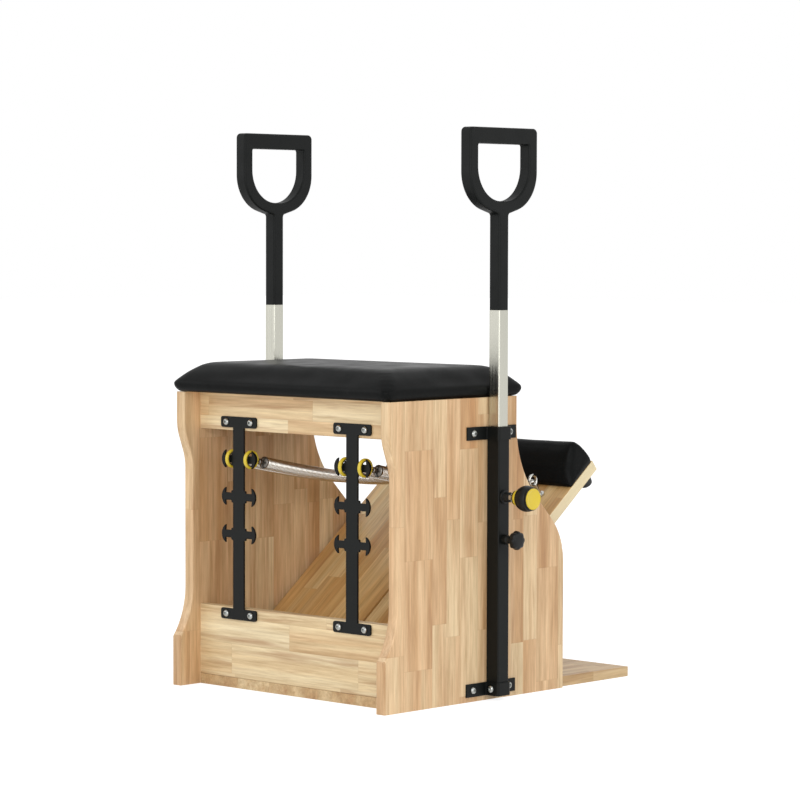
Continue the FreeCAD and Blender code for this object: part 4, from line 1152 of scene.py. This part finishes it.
@dataclass
class ClampKnob:
    """Small black clamp knob of one handle: a tapered stem and a round lobed head."""

    side: str
    sign: float
    lobes: int = 8
    lobe_sides: int = 8
    lobe_depth: float = 0.10
    lobe_start: float = 11.5 * MM
    lobe_angle: float = 50.0
    profile: Profile = scaled(
        (9.4, 8.4), (9.6, 9.4), (8.6, 11.0), (7.2, 16.0), (6.8, 20.0), (7.4, 23.0), (8.6, 25.0), (12.0, 26.2),
        (17.2, 27.4), (18.8, 29.4), (19.0, 32.0), (18.8, 36.0), (18.0, 39.0), (15.6, 41.0), (11.0, 42.0), (6.0, 42.3),
    )

    def build(self) -> None:
        """Turn the knob, press its lobes in and set it on the tube."""
        knob = lathe("clamp_knob_lobed_" + self.side, self.profile, self.lobes * self.lobe_sides)
        for vertex in knob.data.vertices:
            flat = Vector((vertex.co.x, vertex.co.y))
            if flat.length > self.lobe_start:
                wave = (1 - math.cos(self.lobes * math.atan2(flat.y, flat.x))) / 2
                vertex.co.xy = flat * (1 - self.lobe_depth * wave)
        settle(knob, tube_face(self.side, self.sign, "clamp_knob_"))
        dress(knob, BLACK_NYLON, "clamp_" + self.side, self.lobe_angle)
        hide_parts("clamp_knob_" + self.side)


@dataclass
class Studio:
    """Pale floor, soft lamps and the camera at the photograph's view."""

    eye: tuple[float, float, float] = (-4.4186, 4.6897, 0.9177)
    heading: float = math.radians(-46.605)
    pitch: float = math.radians(-2.997)
    roll: float = math.radians(0.137)
    lens: float = 141.15
    sensor: float = 36.0
    far_clip: float = 100.0
    floor_size: float = 60.0
    floor_drop: float = 0.5 * MM
    floor_glow: float = 0.80
    ambient: float = 0.7
    lamp_size: float = 3.0
    lamp_aim: tuple[float, float, float] = (0.0, 0.0, 0.5)
    # Name, place in metres and power in watts
    lamps: tuple[tuple[str, tuple[float, float, float], float], ...] = (
        ("key_lamp", (-2.9, 3.8, 1.7), 82.0),
        ("fill_lamp", (-4.5, -1.0, 2.0), 42.0),
        ("far_lamp", (3.0, 3.5, 2.4), 36.0),
    )

    def build(self) -> None:
        """Set the view, the floor, the world and the lamps."""
        scene = bpy.context.scene
        scene.view_settings.view_transform = "Standard"
        self.camera(scene)
        self.floor()
        self.world(scene)
        for name, place, power in self.lamps:
            self.lamp(name, Vector(place), power)

    def camera(self, scene: bpy.types.Scene) -> None:
        """Place the camera."""
        data = bpy.data.cameras.new("photo_camera")
        data.sensor_width = self.sensor
        data.lens = self.lens
        data.clip_end = self.far_clip
        camera = put_new("photo_camera", data)
        camera.location = self.eye
        level = math.cos(self.pitch)
        forward = Vector((math.cos(self.heading) * level, math.sin(self.heading) * level, math.sin(self.pitch)))
        turn = forward.to_track_quat("-Z", "Y") @ Quaternion((0.0, 0.0, 1.0), self.roll)
        camera.rotation_mode = "QUATERNION"
        camera.rotation_quaternion = turn
        scene.camera = camera

    def floor(self) -> None:
        """Lay the pale floor: white to the camera and in reflections, with a soft shadow left in it."""
        deselect_all()
        bpy.ops.mesh.primitive_plane_add(size=self.floor_size, location=(0.0, 0.0, -self.floor_drop))
        floor = bpy.context.object
        floor.name = "studio_floor"
        paint = bpy.data.materials.new("white_floor")
        tree = fresh_tree(paint)
        plain = add_node(tree, "BsdfDiffuse", {"Color": linear("#e6e6e4")})
        shaded = add_node(tree, "BsdfDiffuse", {"Color": linear("#bcbcbc")})
        glow = add_node(tree, "Emission", {"Color": linear("#ffffff"), "Strength": self.floor_glow})
        seen = add_node(tree, "AddShader", {0: shaded.outputs[0], 1: glow.outputs[0]})
        mixed = add_node(tree, "MixShader", {0: self.seen_ray(tree), 1: plain.outputs[0], 2: seen.outputs[0]})
        add_node(tree, "OutputMaterial", {"Surface": mixed.outputs[0]})
        floor.data.materials.append(paint)

    @staticmethod
    def seen_ray(tree: Tree) -> Socket:
        """Socket that is 1 for rays from the camera, reflections and glass, and 0 for lighting."""
        ray = add_node(tree, "LightPath")
        seen = ray.outputs["Is Camera Ray"]
        for kind in ("Is Glossy Ray", "Is Transmission Ray"):
            seen = add_node(tree, "Math", {0: seen, 1: ray.outputs[kind]}, operation="MAXIMUM").outputs[0]
        return seen

    def world(self, scene: bpy.types.Scene) -> None:
        """Light the scene evenly and show white behind it."""
        world = bpy.data.worlds.new("white_studio")
        scene.world = world
        tree = fresh_tree(world)
        strength = add_node(tree, "MapRange", {"Value": self.seen_ray(tree), "To Min": self.ambient, "To Max": 1.0})
        back = add_node(tree, "Background", {"Color": linear("#ffffff"), "Strength": strength.outputs[0]})
        add_node(tree, "OutputWorld", {"Surface": back.outputs[0]})

    def lamp(self, name: str, place: Vector, power: float) -> None:
        """Hang one large soft lamp that faces the middle of the chair."""
        data = bpy.data.lights.new(name, "AREA")
        data.size = self.lamp_size
        data.energy = power
        lamp = put_new(name, data)
        lamp.location = place
        lamp.rotation_mode = "QUATERNION"
        lamp.rotation_quaternion = (Vector(self.lamp_aim) - place).to_track_quat("-Z", "Y")


def dress_nodes() -> None:
    """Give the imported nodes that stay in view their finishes."""
    named = [(node, finish) for finish, nodes in NODE_FINISHES.items() for node in nodes]
    for finish, stems in SIDED_FINISHES.items():
        named.extend((stem + "_" + side, finish) for stem in stems for side, _ in SIDES)
    for node, finish in named:
        materials = bpy.data.objects[node].data.materials
        materials.clear()
        materials.append(finish.material())


def main() -> None:
    """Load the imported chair, model and dress its pieces, and set up the studio."""
    logging.basicConfig(level=logging.INFO, format="%(name)s: %(message)s")
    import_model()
    dress_nodes()
    SeatCushion().build()
    for side, sign in SIDES:
        FootPad(side).build()
        SpringSet(side, sign).build()
        PullKnob(side, sign).build()
        ClampKnob(side, sign).build()
    Bolts().build()
    Studio().build()


if __name__ == "__main__":
    main()
